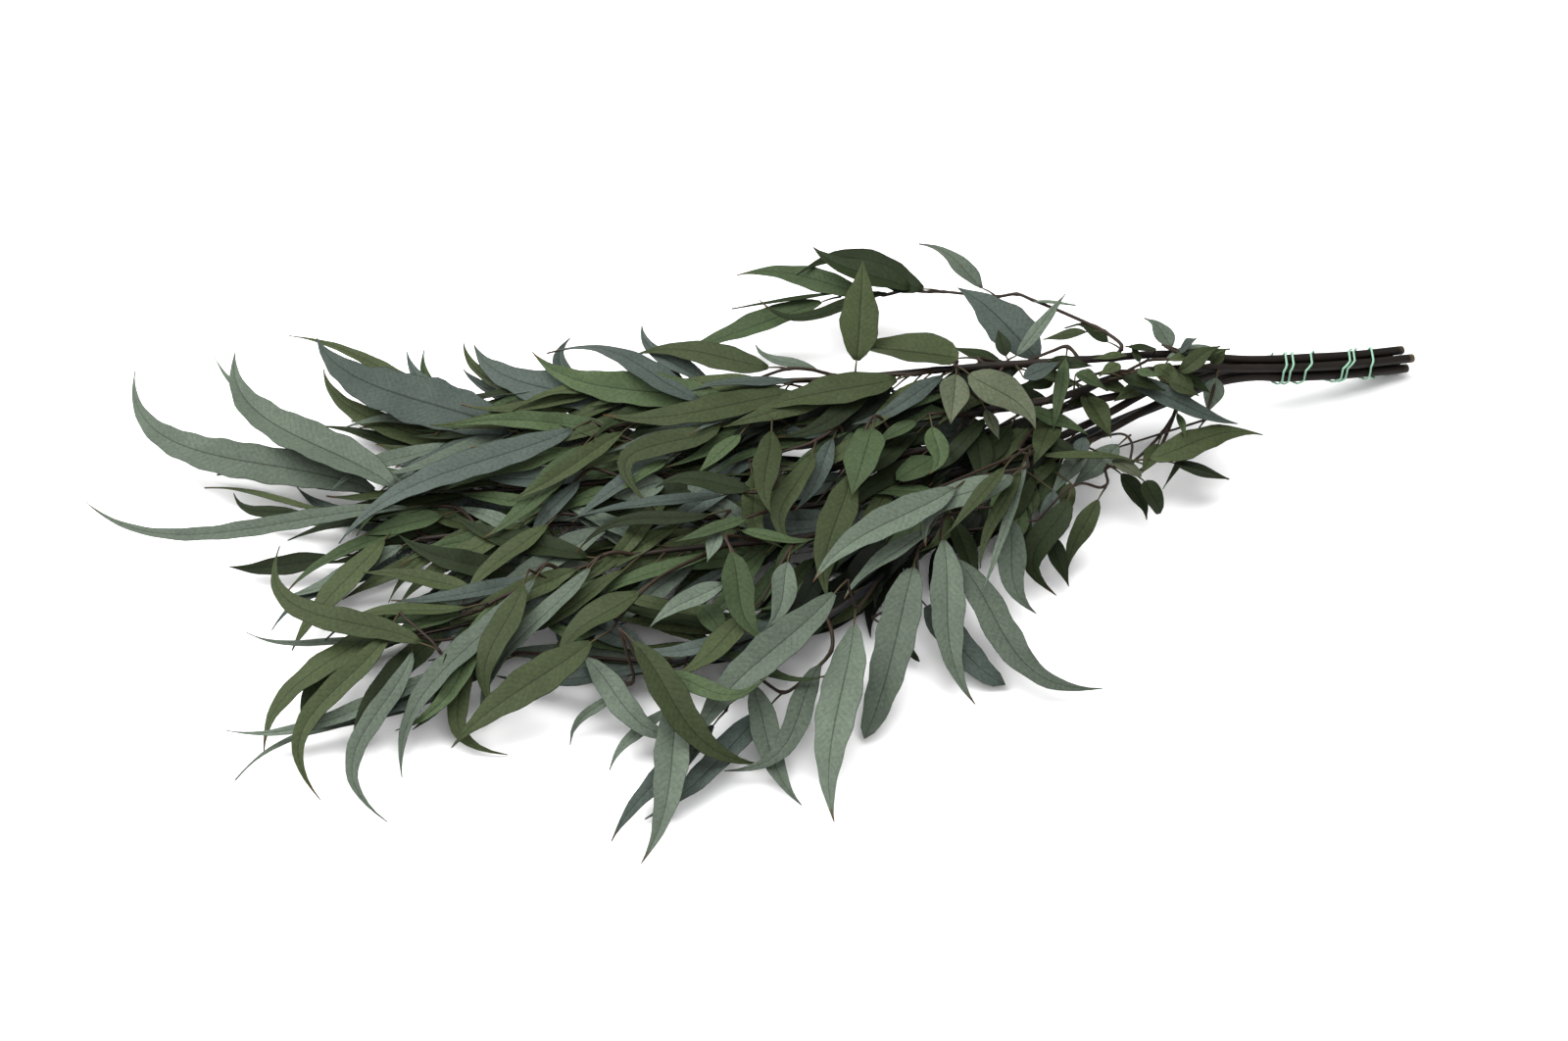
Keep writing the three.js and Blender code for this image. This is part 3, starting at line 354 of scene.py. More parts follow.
def leaf_line(leaf):
    way = leaf["tip"] - leaf["base"]
    side = unit(np.array([-way[1], way[0], 0]))
    length = np.linalg.norm(way)
    s = np.linspace(0, 1, max(4, math.floor(length / SAMPLE_STEP + 0.5)) + 1)[:, None]
    hook = 6.75 * s * s * (1 - s)
    rise = ARCH * length * 4 * s * (1 - s)
    return leaf["base"] + way * s + side * leaf["bow"] * hook + rise * np.array([0, -1, 1])


def nearest(line, point):
    return int(np.argmin(np.linalg.norm(line - point, axis=1)))


def lay_out():
    """Gives every branch its line, and every shoot its leaves, nodes and line."""
    for branch in BRANCHES.values():
        branch.setdefault("radius", STEM_RADIUS)
        branch.setdefault("out", BUNDLE_RADIUS)
        branch["line"] = branch_line(branch)
    leaves = []
    for shoot in SHOOTS:
        own = []
        for row in shoot["leaves"]:
            leaf = dict(shoot=shoot, base=np.array(row[0:3], float), tip=np.array(row[3:6], float),
                        width=row[6], bow=row[7], tone=row[8], blunt=len(row) > 9)
            leaf["number"] = len(leaves)
            leaf["roll"] = ROLL * math.sin(GOLDEN_ANGLE * len(leaves))
            leaf["line"] = leaf_line(leaf)
            leaves.append(leaf)
            own.append(leaf)
        shoot["leaves"] = own
        ends = []
        for leaf in own:
            back = (leaf["line"][0] - leaf["line"][1]) * np.array([1, 1, 0])
            ends.append(leaf["base"] + unit(back) * PETIOLE_LENGTH)
        start = point_at_x(BRANCHES[shoot["on"]]["line"], shoot["x"])
        shoot["line"] = smooth_line([start] + ends, SAMPLE_STEP)
        shoot["nodes"] = [nearest(shoot["line"], end) for end in ends]
        for leaf, node in zip(own, shoot["nodes"]):
            leaf["node"] = node
    return leaves


def add_chain(chains, line, owner, fixed, reach, tall, grows_on=-1):
    """One line that settle() may move; grows_on is the branch's number if it is a shoot."""
    chains.append(dict(line=line, owner=owner, fixed=fixed, reach=reach, tall=tall, grows_on=grows_on,
                       first=chains[-1]["first"] + len(chains[-1]["line"]) if chains else 0))
    return chains[-1]


def blade_half(leaf):
    return lambda s: leaf["width"] / 2 * leaf_shape(leaf, np.clip(s, 0.05, 0.97))


def blade_tall(leaf):
    tilt = ROLL_SHARE * abs(math.sin(leaf["roll"])) + CUP_SHARE
    return lambda s: LEAF_THICKNESS / 2 + blade_half(leaf)(s) * tilt


def stem_reach(branch):
    return lambda s: stem_radius(branch, s)


def shoot_reach(s):
    return SHOOT_RADIUS


def add_branch_chains(chains):
    for number, branch in enumerate(BRANCHES.values()):
        add_chain(chains, branch["line"], -1 - number, True, stem_reach(branch), stem_reach(branch))


def add_shoot_chains(chains, fixed):
    """Adds every shoot and leaf, and returns which leaf start sits on which shoot point."""
    links = []
    names = list(BRANCHES)
    for number, shoot in enumerate(SHOOTS):
        grows_on = names.index(shoot["on"])
        twig = add_chain(chains, shoot["line"], number, fixed, shoot_reach, shoot_reach, grows_on)
        for leaf in shoot["leaves"]:
            blade = add_chain(chains, leaf["line"], number, fixed, blade_half(leaf), blade_tall(leaf))
            links.append((blade["first"], twig["first"] + leaf["node"]))
    return links


def settle(chains, links, rounds):
    """Leaves rest on each other and the table: one that gives way moves up and forwards."""
    def spread(values):
        return np.array(values)[chain_of]

    chain_of = np.concatenate([np.full(len(c["line"]), k) for k, c in enumerate(chains)])
    place = np.concatenate([c["line"] for c in chains])
    share = np.concatenate([np.linspace(0, 1, len(c["line"])) for c in chains])
    reach = np.concatenate([c["reach"](np.linspace(0, 1, len(c["line"]))) * np.ones(len(c["line"]))
                            for c in chains])
    tall = np.concatenate([c["tall"](np.linspace(0, 1, len(c["line"]))) * np.ones(len(c["line"]))
                           for c in chains])
    x, start = place[:, 0], place[:, 2].copy()
    v = place[:, 1] + place[:, 2]
    fixed = spread([c["fixed"] for c in chains])
    owner = spread([c["owner"] for c in chains])
    grows_on = spread([c["grows_on"] for c in chains])
    firsts = spread([c["first"] for c in chains])
    lasts = spread([c["first"] + len(c["line"]) - 1 for c in chains])
    rows = np.arange(len(x))
    index = rows - firsts
    low, high = [], []
    for a in range(len(x)):
        b = np.arange(a + 1, len(x))
        near = np.hypot(x[a] - x[b], v[a] - v[b]) <= reach[a] + reach[b] + REACH_MARGIN
        b = b[near & (chain_of[b] != chain_of[a]) & ~(fixed[a] & fixed[b])]
        joined = (grows_on[a] >= 0) | (grows_on[b] >= 0)
        joined |= (share[a] < FREE_SHARE) | (share[b] < FREE_SHARE)
        b = b[~((owner[b] == owner[a]) & joined)]
        growing = (grows_on[b] >= 0) & (grows_on[b] == -1 - owner[a])
        b = b[~(growing & (index[b] < FREE_POINTS))]
        low.append(np.full(len(b), a))
        high.append(b)
    a, b = np.concatenate(low), np.concatenate(high)
    key = chain_of[a] * len(chains) + chain_of[b]
    sums = np.zeros(len(chains) ** 2)
    z = start.copy()
    np.add.at(sums, key, z[a] - z[b])
    sign = np.where(sums[key] >= 0, 1, -1)
    upper, lower = np.where(sign > 0, a, b), np.where(sign > 0, b, a)
    part = np.where(fixed[a] | fixed[b], 1, 0.5)
    need = tall[a] + tall[b] + REST_GAP
    base, node = np.array(links, int).reshape(-1, 2).T
    before, after = np.maximum(rows - 1, firsts), np.minimum(rows + 1, lasts)
    anchored = (grows_on >= 0) & (index == 0)
    for turn in range(rounds):
        rise, sink = np.zeros(len(x)), np.zeros(len(x))
        short = np.maximum(need - sign * (z[a] - z[b]), 0) * part
        np.maximum.at(rise, upper, short)
        np.maximum.at(sink, lower, short)
        gap = (z[base] - start[base]) - (z[node] - start[node])
        np.add.at(rise, node, gap / 4)
        np.add.at(rise, base, -gap / 4)
        drift = z + PACE * (rise - sink) - start
        calm = SMOOTHING if turn < rounds - LAST_ROUNDS else LAST_SMOOTHING
        moved = mix(drift, (drift[before] + drift[after]) / 2, calm) * FADE
        moved[anchored] = 0
        z = np.where(fixed, z, np.maximum(start + moved, tall + TABLE_GAP))
    for chain in chains:
        if not chain["fixed"]:
            own = slice(chain["first"], chain["first"] + len(chain["line"]))
            chain["line"][:, 2] = z[own]
            chain["line"][:, 1] = v[own] - z[own]


def string_line():
    """The taut string's middle: round each outer branch in turn, straight between them."""
    centre = smooth_line(BUNDLE, 2)
    line = []
    steps = len(STRING_STOPS) - 1
    for k in range(steps * STRING_STEPS + 1):
        share = k / STRING_STEPS
        i = min(math.floor(share), steps - 1)
        x = mix(STRING_STOPS[i], STRING_STOPS[i + 1], share - i)
        middle = point_at_x(centre, x)
        side, up = across(unit(point_at_x(centre, x - 3) - middle))
        turn = math.pi * (STRING_START - share)
        out = -side * math.cos(turn) + up * math.sin(turn)
        stems = [(point_at_x(b["line"], x), b["radius"]) for b in BRANCHES.values()]
        best, radius = max(stems, key=lambda stem: (stem[0] - middle) @ out + stem[1])
        line.append(best + out * (radius + GAP + STRING_RADIUS))
    return np.array(line)


bundle_along = tangents(np.array(BUNDLE, float))
leaves = lay_out()
layout = []
add_branch_chains(layout)
settle(layout, add_shoot_chains(layout, False), SETTLE_ROUNDS)
cord = string_line()

# The part's layout is centred on its box in the row frame: the string's box gives the shift.
string_low, string_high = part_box("tie_string")
string_middle = (np.array(string_low) + np.array(string_high)) / 2
cord_low, cord_high = cord.min(0), cord.max(0)
SHIFT = string_middle - (cord_low + cord_high) / 2000


def placed(points):
    """Layout millimetres to the row frame's metres."""
    return np.asarray(points) / 1000 + SHIFT


# ---- Mesh helpers -------------------------------------------------------------------------

class Skin:
    """Collects grids of points into one mesh, with a colour and leaf coordinates per point."""

    def __init__(self):
        self.points, self.colours, self.coords, self.faces, self.kinds = [], [], [], [], []
        self.count = 0

    def grid(self, points, colours, coords, kind, closed=False, flip=False):
        """points is rows x columns x 3; closed joins the last column to the first."""
        rows, columns = points.shape[:2]
        r, c = np.meshgrid(np.arange(rows - 1), np.arange(columns if closed else columns - 1),
                           indexing="ij")
        n = (c + 1) % columns
        quads = np.stack([r * columns + c, r * columns + n, (r + 1) * columns + n,
                          (r + 1) * columns + c], -1).reshape(-1, 4)
        if flip:
            quads = quads[:, ::-1]
        self.faces.append(quads + self.count)
        self.kinds.append(np.full(len(quads), kind))
        self.points.append(points.reshape(-1, 3))
        self.colours.append(np.broadcast_to(colours, (rows, columns, 3)).reshape(-1, 3))
        self.coords.append(np.broadcast_to(coords, (rows, columns, 2)).reshape(-1, 2))
        self.count += rows * columns

    def object(self, name, materials):
        points = placed(np.concatenate(self.points))
        faces = np.concatenate(self.faces)
        mesh = bpy.data.meshes.new(name)
        mesh.from_pydata(points.tolist(), [], faces.tolist())
        colour = mesh.color_attributes.new("tone", "FLOAT_COLOR", "POINT")
        rgb = np.concatenate(self.colours)
        rgba = np.column_stack([rgb, np.ones(len(rgb))]).astype(np.float32)
        colour.data.foreach_set("color", rgba.ravel())
        uv = mesh.uv_layers.new(name="leaf")
        coords = np.concatenate(self.coords)
        corners = np.zeros(len(mesh.loops), np.int32)
        mesh.loops.foreach_get("vertex_index", corners)
        uv.data.foreach_set("uv", coords[corners].astype(np.float32).ravel())
        for material in materials:
            mesh.materials.append(material)
        mesh.polygons.foreach_set("material_index", np.concatenate(self.kinds).astype(np.int32))
        mesh.polygons.foreach_set("use_smooth", np.ones(len(mesh.polygons), bool))
        mesh.validate()
        mesh.update()
        piece = bpy.data.objects.new(name, mesh)
        scene.collection.objects.link(piece)
        return piece


def tube_points(line, radii, sides, along=None):
    along = tangents(line) if along is None else along
    side, up = carried(along, across(along[0])[0])
    turn = np.arange(sides) * 2 * np.pi / sides
    ring = np.cos(turn)[None, :, None] * side[:, None] + np.sin(turn)[None, :, None] * up[:, None]
    radii = np.asarray(radii, float)
    radii = radii[:, None] if radii.ndim == 1 else radii
    return line[:, None] + ring * radii[:, :, None]


def add_tube(skin, line, radii, sides, colour, kind):
    """A closed tube: rings along the line, drawn in to a point at each end."""
    along = tangents(line)
    points = tube_points(line, radii, sides, along)
    points = np.concatenate([np.broadcast_to(line[:1, None], (1, sides, 3)), points,
                             np.broadcast_to(line[-1:, None], (1, sides, 3))])
    colour = np.asarray(colour, float)
    if colour.ndim == 3:
        colour = np.concatenate([colour[:1], colour, colour[-1:]])
    skin.grid(points, colour, np.zeros(2), kind, closed=True)


# ---- Colours, linear ----------------------------------------------------------------------

# The last tone, near black, is painted shade: it darkens leaves hidden inside the bunch in place of the
# shadow there.
TONES = {
    "sage": (0.071, 0.090, 0.068), "slate": (0.044, 0.057, 0.049), "olive": (0.032, 0.042, 0.018),
    "fern": (0.037, 0.055, 0.025), "dark": (0.012, 0.018, 0.007), "pale": (0.064, 0.074, 0.046),
    "painted_shade": (0.005, 0.007, 0.004)}
MIDRIB_SHADE = 0.38
# Painted shade: the blade's rim is darkened to stand for the shadow of its thickness at the edge.
EDGE_PAINTED_SHADE = 0.5
UNDERSIDE_SHADE = 0.9
UNDERSIDE_RIB_SHADE = 1.25
UNDERSIDE_BLOOM = 0.008  # the powdery lower face is paler
TIP_BROWN = np.array([0.070, 0.036, 0.016])
BARK = np.array([0.0065, 0.0045, 0.0035])
BARK_BLUE = np.array([0.010, 0.012, 0.015])
BARK_PALE = np.array([0.022, 0.013, 0.008])
YOUNG_BARK = np.array([0.017, 0.010, 0.006])
PETIOLE_GREEN = np.array([0.040, 0.032, 0.012])
CUT_WOOD = np.array([0.080, 0.060, 0.035])
MINT = np.array([0.215, 0.420, 0.290])


# ---- Materials ----------------------------------------------------------------------------

def new_material(name, roughness, sheen=0.0):
    material = bpy.data.materials.new(name)
    material.use_nodes = True
    nodes, links = material.node_tree.nodes, material.node_tree.links
    shader = nodes["Principled BSDF"]
    shader.inputs["Roughness"].default_value = roughness
    shader.inputs["Sheen Weight"].default_value = sheen
    return material, nodes, links, shader


def math_node(nodes, links, operation, a, b=None, c=None):
    node = nodes.new("ShaderNodeMath")
    node.operation = operation
    for socket, value in zip(node.inputs, (a, b, c)):
        if value is None:
            continue
        if isinstance(value, (int, float)):
            socket.default_value = value
        else:
            links.new(value, socket)
    return node.outputs[0]


def tinted(nodes, links, colour, shade):
    """The colour times a grey shade."""
    mixed = nodes.new("ShaderNodeMix")
    mixed.data_type = "RGBA"
    mixed.blend_type = "MULTIPLY"
    mixed.inputs["Factor"].default_value = 1
    links.new(colour, mixed.inputs["A"])
    links.new(shade, mixed.inputs["B"])
    return mixed.outputs["Result"]


def noise(nodes, links, scale, detail=4, stretch=None):
    where = nodes.new("ShaderNodeTexCoord")
    texture = nodes.new("ShaderNodeTexNoise")
    texture.inputs["Scale"].default_value = scale
    texture.inputs["Detail"].default_value = detail
    source = where.outputs["Object"]
    if stretch:
        mapping = nodes.new("ShaderNodeMapping")
        mapping.inputs["Scale"].default_value = stretch
        links.new(source, mapping.inputs["Vector"])
        source = mapping.outputs["Vector"]
    links.new(source, texture.inputs["Vector"])
    return texture.outputs["Fac"]


VEIN_SLANT = -1.6  # how far a side vein has run out towards the tip at the edge
VEIN_WOBBLE = 1.1
VEIN_NOISE_SCALE = 60
VEIN_SHARPNESS = 6
VEIN_SHADE = (0.12, 0.90)  # contrast and darkest shade of the side veins
SPECKLE_SCALE = 520
SPECKLE_SHADE = (0.9, 0.55)
BLOTCH_SCALE = 38
BLOTCH_SHADE = (0.5, 0.75)
LEAF_ROUGHNESS = 0.6
LEAF_GLOSS = 0.08
BARK_GLOSS = 0.2


def leaf_material(name):
    """A dusty satin blade: the tone from the mesh, side veins from the leaf's own coordinates."""
    material, nodes, links, shader = new_material(name, LEAF_ROUGHNESS)
    shader.inputs["Specular IOR Level"].default_value = LEAF_GLOSS
    tone = nodes.new("ShaderNodeAttribute")
    tone.attribute_name = "tone"
    place = nodes.new("ShaderNodeUVMap")
    place.uv_map = "leaf"
    split = nodes.new("ShaderNodeSeparateXYZ")
    links.new(place.outputs["UV"], split.inputs["Vector"])
    out_from_rib = math_node(nodes, links, "ABSOLUTE", split.outputs["X"])
    slant = math_node(nodes, links, "MULTIPLY_ADD", out_from_rib, VEIN_SLANT, split.outputs["Y"])
    uneven = noise(nodes, links, VEIN_NOISE_SCALE, 2)
    wobble = math_node(nodes, links, "MULTIPLY_ADD", uneven, VEIN_WOBBLE, slant)
    stripe = math_node(nodes, links, "PINGPONG", wobble, 0.5)
    steep = math_node(nodes, links, "MULTIPLY", stripe, VEIN_SHARPNESS)
    vein = math_node(nodes, links, "SMOOTH_MIN", steep, 1, 0.3)
    fine = noise(nodes, links, SPECKLE_SCALE, 6)
    speckle = math_node(nodes, links, "MULTIPLY_ADD", fine, *SPECKLE_SHADE)
    broad = noise(nodes, links, BLOTCH_SCALE, 3)
    blotch = math_node(nodes, links, "MULTIPLY_ADD", broad, *BLOTCH_SHADE)
    veined = math_node(nodes, links, "MULTIPLY_ADD", vein, *VEIN_SHADE)
    mottled = math_node(nodes, links, "MULTIPLY", speckle, blotch)
    shade = math_node(nodes, links, "MULTIPLY", mottled, veined)
    colour = tinted(nodes, links, tone.outputs["Color"], shade)
    links.new(colour, shader.inputs["Base Color"])
    bump = nodes.new("ShaderNodeBump")
    bump.inputs["Strength"].default_value = 0.35
    bump.inputs["Distance"].default_value = 0.0004
    links.new(math_node(nodes, links, "MULTIPLY_ADD", vein, 0.5, speckle), bump.inputs["Height"])
    links.new(bump.outputs["Normal"], shader.inputs["Normal"])
    return material


def bark_material(name, roughness):
    material, nodes, links, shader = new_material(name, roughness)
    shader.inputs["Specular IOR Level"].default_value = BARK_GLOSS
    tone = nodes.new("ShaderNodeAttribute")
    tone.attribute_name = "tone"
    streak = noise(nodes, links, 120, 5, stretch=(0.25, 1, 1))
    shade = math_node(nodes, links, "MULTIPLY_ADD", streak, 1.3, 0.35)
    links.new(tinted(nodes, links, tone.outputs["Color"], shade), shader.inputs["Base Color"])
    bump = nodes.new("ShaderNodeBump")
    bump.inputs["Strength"].default_value = 0.6
    bump.inputs["Distance"].default_value = 0.0006
    links.new(streak, bump.inputs["Height"])
    links.new(bump.outputs["Normal"], shader.inputs["Normal"])
    return material


def string_material():
    material, nodes, links, shader = new_material("string", 0.8, sheen=0.3)
    tone = nodes.new("ShaderNodeAttribute")
    tone.attribute_name = "tone"
    fibre = noise(nodes, links, 900, 3)
    shade = math_node(nodes, links, "MULTIPLY_ADD", fibre, 0.5, 0.72)
    links.new(tinted(nodes, links, tone.outputs["Color"], shade), shader.inputs["Base Color"])
    bump = nodes.new("ShaderNodeBump")
    bump.inputs["Strength"].default_value = 0.5
    bump.inputs["Distance"].default_value = 0.0002
    links.new(fibre, bump.inputs["Height"])
    links.new(bump.outputs["Normal"], shader.inputs["Normal"])
    return material


# The near-black painted-shade tone is left without a slot of its own.
LEAF_SLOTS = {tone: leaf_material("leaf_" + tone) for tone in TONES if tone != "painted_shade"}
BARK_MATERIAL = bark_material("bark", 0.6)
STRING_MATERIAL = string_material()

# ---- Leaves -------------------------------------------------------------------------------

COLUMNS = np.array([-1, -0.95, -0.7, -0.38, -0.07, 0, 0.07, 0.38, 0.7, 0.95, 1])
ACROSS = len(COLUMNS)
BLADE, TWIG = 0, 1
VEIN_SPACING = 4


RIPPLE = 0.045  # the most an edge waves up and down, as a share of the leaf's width
RIPPLE_LENGTH = 34  # mm of leaf per wave
EDGE_WAVER = 0.05  # how far the outline wavers in and out
RIB_DEPTH = 0.25  # of the groove over the midrib
BLADE_HALF = (0.16, 0.28)  # half thickness at the edge, and how much more at the midrib
LEAST_HALF_WIDTH = 0.25
ROW_SPACING = 4.5
BROWN_FROM = 0.93  # share of the length where a brown tip begins
BROWN_FADE = 0.05


def wave_of(leaf):
    """How one leaf differs from the next: waviness, cup, twist and brown tip, from its number."""
    n = leaf["number"]
    return dict(ripple=0.5 + 0.5 * math.sin(3.1 * n), phase=2.3 * n,
                cup=0.16 + 0.12 * math.sin(1.7 * n + 1),
                twist=math.radians(14) * math.sin(2.9 * n + 0.5),
                brown=math.sin(5.3 * n) > 0.35, light=1 + 0.16 * math.sin(4.1 * n + 2))


def blade_grids(leaf, own, line, s):
    """The upper and lower face of a blade, as grids of points, and the way its middle runs."""
    length = np.linalg.norm(leaf["tip"] - leaf["base"])
    along = tangents(line)
    flat, high = carried(along, unit(np.cross(UP, leaf["tip"] - leaf["base"])))
    roll = leaf["roll"] + own["twist"] * (s - 0.3)
    side = flat * np.cos(roll)[:, None] + high * np.sin(roll)[:, None]
    up = high * np.cos(roll)[:, None] - flat * np.sin(roll)[:, None]
    half = leaf["width"] / 2 * leaf_shape(leaf, np.minimum(s, 0.999))
    half = np.maximum(half, LEAST_HALF_WIDTH)
    u = COLUMNS
    ripple = own["ripple"] * leaf["width"] * RIPPLE
    turns = 2 * np.pi * (length / RIPPLE_LENGTH)
    waver = np.sin(1.7 * turns * s[:, None] + own["phase"] + 2 * np.sign(u)[None])
    edge = 1 + EDGE_WAVER * waver
    lift = (own["cup"] * half[:, None] * (np.abs(u) ** 1.2)[None]
            + ripple * np.sin(turns * s[:, None] + own["phase"] + 1.5 * np.sign(u)[None]) * (u ** 2)[None]
            * np.sin(np.pi * s)[:, None])
    rib = RIB_DEPTH * np.exp(-(u / 0.1) ** 2)
    thick = BLADE_HALF[0] + BLADE_HALF[1] * (1 - u ** 2)
    centre = line[:, None] + side[:, None] * (u[None, :, None] * (half[:, None] * edge)[..., None])
    top = centre + up[:, None] * (lift + (thick - rib)[None])[..., None]
    bottom = centre + up[:, None] * (lift - (thick + rib)[None])[..., None]
    return top, bottom, along


def blade_colours(leaf, own, s):
    """The colours of the upper and the lower face."""
    rows = len(s)
    tone = np.array(TONES[leaf["tone"]]) * own["light"]
    shade = np.ones(ACROSS)
    shade[ACROSS // 2] = MIDRIB_SHADE
    # painted shade along both edges of the blade
    shade[[0, -1]] = EDGE_PAINTED_SHADE
    upper = tone * shade[None, :, None] * np.ones((rows, 1, 1))
    raised = np.where(shade == MIDRIB_SHADE, UNDERSIDE_RIB_SHADE, shade)
    pale = tone * UNDERSIDE_SHADE + UNDERSIDE_BLOOM
    lower = pale * raised[None, :, None] * np.ones((rows, 1, 1))
    if own["brown"]:
        turned = np.clip((s - BROWN_FROM) / BROWN_FADE, 0, 1)[:, None, None]
        upper = mix(upper, TIP_BROWN, turned)
        lower = mix(lower, TIP_BROWN, turned)
    return upper, lower


def add_leaf(skin, leaf):
    """Adds a closed blade, drawn in to a point at each end, and returns its middle line."""
    own = wave_of(leaf)
    length = np.linalg.norm(leaf["tip"] - leaf["base"])
    s = np.linspace(0.015, 1, max(14, round(length / ROW_SPACING)))
    line = resampled(leaf["line"], 400)
    line = np.stack([np.interp(s, np.linspace(0, 1, 400), line[:, k]) for k in range(3)], 1)
    top, bottom, along = blade_grids(leaf, own, line, s)
    upper, lower = blade_colours(leaf, own, s)
    veins = length / VEIN_SPACING
    coords = np.broadcast_arrays(COLUMNS[None, :] * leaf["width"] / 14, s[:, None] * veins)
    coords = np.stack(coords, -1)
    loop = np.concatenate([top, bottom[:, ::-1]], 1)
    colours = np.concatenate([upper, lower[:, ::-1]], 1)
    places = np.concatenate([coords, coords[:, ::-1]], 1)
    first = np.broadcast_to(loop[:1].mean(1, keepdims=True), loop[:1].shape)
    last = np.broadcast_to(loop[-1:].mean(1, keepdims=True) + along[-1] * 0.6, loop[:1].shape)
    loop = np.concatenate([first, loop, last])
    colours = np.concatenate([colours[:1], colours, colours[-1:]])
    places = np.concatenate([places[:1], places, places[-1:]])
    skin.grid(loop, colours, places, BLADE, closed=True, flip=True)
    return line


def add_petiole(skin, node, line, tone):
    """The stalk from its twig to the blade, which it runs into with the blade's own tone."""
    stalk = smooth_line([node, mix(node, line[0], 0.5) + UP * 0.6, line[0], line[1] - UP * 0.3], 1.6)
    share = np.linspace(0, 1, len(stalk))
    bark = mix(YOUNG_BARK, PETIOLE_GREEN, np.clip(share * 1.6, 0, 1)[:, None])
    colour = mix(bark, np.array(TONES[tone]) * 0.7, np.clip(share * 3 - 2, 0, 1)[:, None])
    add_tube(skin, stalk, mix(PETIOLE_RADIUS * 1.15, 0.35, share), 8,
             np.broadcast_to(colour[:, None], (len(stalk), 8, 3)), TWIG)


def add_twig(skin, shoot):
    line = smooth_line(shoot["line"][::2].tolist() + [shoot["line"][-1].tolist()], 1.8)
    share = np.linspace(0, 1, len(line))
    radii = mix(SHOOT_RADIUS, SHOOT_TIP_RADIUS, share)
    for node in shoot["nodes"]:
        away = np.linalg.norm(line - shoot["line"][node], axis=1)
        radii = radii + 0.35 * np.exp(-(away / 1.6) ** 2)
    colour = mix(BARK_PALE, YOUNG_BARK, share[:, None, None])
    add_tube(skin, line, radii, 8, np.broadcast_to(colour, (len(line), 8, 3)), TWIG)


def shoot_piece(number, shoot):
    skin = Skin()
    for leaf in shoot["leaves"]:
        line = add_leaf(skin, leaf)
        add_petiole(skin, shoot["line"][leaf["node"]], line, leaf["tone"])
    add_twig(skin, shoot)
    tone = shoot["leaves"][0]["tone"]
    node = f"shoot_{number + 1:02d}"
    piece = skin.object("leaves_" + node, [LEAF_SLOTS[tone], BARK_MATERIAL])
    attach(piece, "root")
    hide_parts(node)


for number, shoot in enumerate(SHOOTS):
    shoot_piece(number, shoot)

# ---- Smaller leaves that the CAD solids leave out ---------------------------------------------

# Little leaves round the bare part of the branches and a few low in the bunch, written like the
# rows in SHOOTS: the nearest branch carries each of them.
SMALL_LEAVES = [
    [252, 96, 56, 277, 114, 60, 11, 2, "olive"], [272, 106, 54, 281, 113, 58, 9, 0, "olive"],
    [252, 94, 57, 261, 84, 50, 10, 0, "olive"], [256, 94, 56, 271, 88, 48, 9, 0, "dark"],
    [238, 96, 62, 251, 84, 54, 13, 2, "olive"], [226, 90, 62, 241, 88, 60, 13, 0, "fern"],
    [216, 92, 66, 204, 86, 62, 11, 0, "olive"], [217, 87, 60, 242, 81, 55, 10, 0, "dark"],
    [190, 86, 64, 209, 79, 57, 17, 0, "fern"], [176, 101, 60, 201, 99, 58, 9, 0, "dark"],
    [160, 82, 64, 182, 94, 66, 13, 0, "slate"], [161, 71, 50, 197, 57, 43, 13, 2, "fern"],
    [195, 58, 40, 191, 45, 33, 10, 0, "slate"], [210, 39, 40, 226, 31, 35, 12, 0, "pale", "blunt"],
    [251, 78, 40, 254, 60, 38, 5, 0, "fern"], [222, 104, 62, 202, 103, 60, 8, 0, "olive"],
    [246, 106, 56, 283, 112, 60, 11, 0, "olive"], [230, 105, 56, 226, 116, 60, 5, 0, "dark"],
    [240, 112, 60, 222, 112, 62, 8, 0, "dark"],
    [180, 96, 52, 160, 92, 50, 12, 2, "dark"], [205, 88, 44, 186, 80, 42, 12, -2, "dark"],
    [150, 104, 58, 128, 98, 56, 13, 2, "dark"], [232, 92, 50, 214, 82, 46, 10, 0, "olive"],
    [170, 60, 34, 148, 46, 30, 14, 0, "dark"], [178, 50, 30, 158, 34, 24, 13, 2, "olive"],
    [168, 30, 24, 152, 8, 14, 12, -2, "olive"], [160, 20, 22, 150, -16, 8, 13, 0, "dark"],
    [176, 24, 30, 164, -10, 14, 12, 3, "slate"], [186, 30, 30, 176, 4, 20, 11, 0, "olive"],
    [152, 60, 30, 128, 48, 28, 14, 0, "dark"], [140, 80, 44, 116, 74, 42, 14, 0, "dark"]]

INNER_SPACING = 6.5
INNER_ROUNDS = 60
# Inner leaves mostly take dark and near-black tones as painted shade for the hidden middle of the bunch;
# those whose tips reach past OUTER_FROM take the outer tones.
INNER_SHADE_TONES = ["olive", "dark", "painted_shade", "fern", "painted_shade", "slate"]
OUTER_TONES = ["olive", "fern", "slate", "olive", "dark", "sage"]
OUTER_FROM = -70  # X; further to the leaf tips, the inner leaves are no longer hidden
# Where the inner leaves of each branch begin (X), and the sides they grow to: 1 is towards -Y.
INNER = {
    "back": dict(start=175, sides=[1, 1]), "upper": dict(start=190, sides=[1, -1]),
    "middle": dict(start=200, sides=[1, -1]), "lower": dict(start=200, sides=[1, -1]),
    "front": dict(start=190, sides=[1, -1]), "near": dict(start=110, sides=[-1, -1])}


def nearest_on_branch(point):
    lines = [branch["line"] for branch in BRANCHES.values()]
    near = [line[nearest(line, point)] for line in lines]
    return min(near, key=lambda at: np.linalg.norm(at - point))


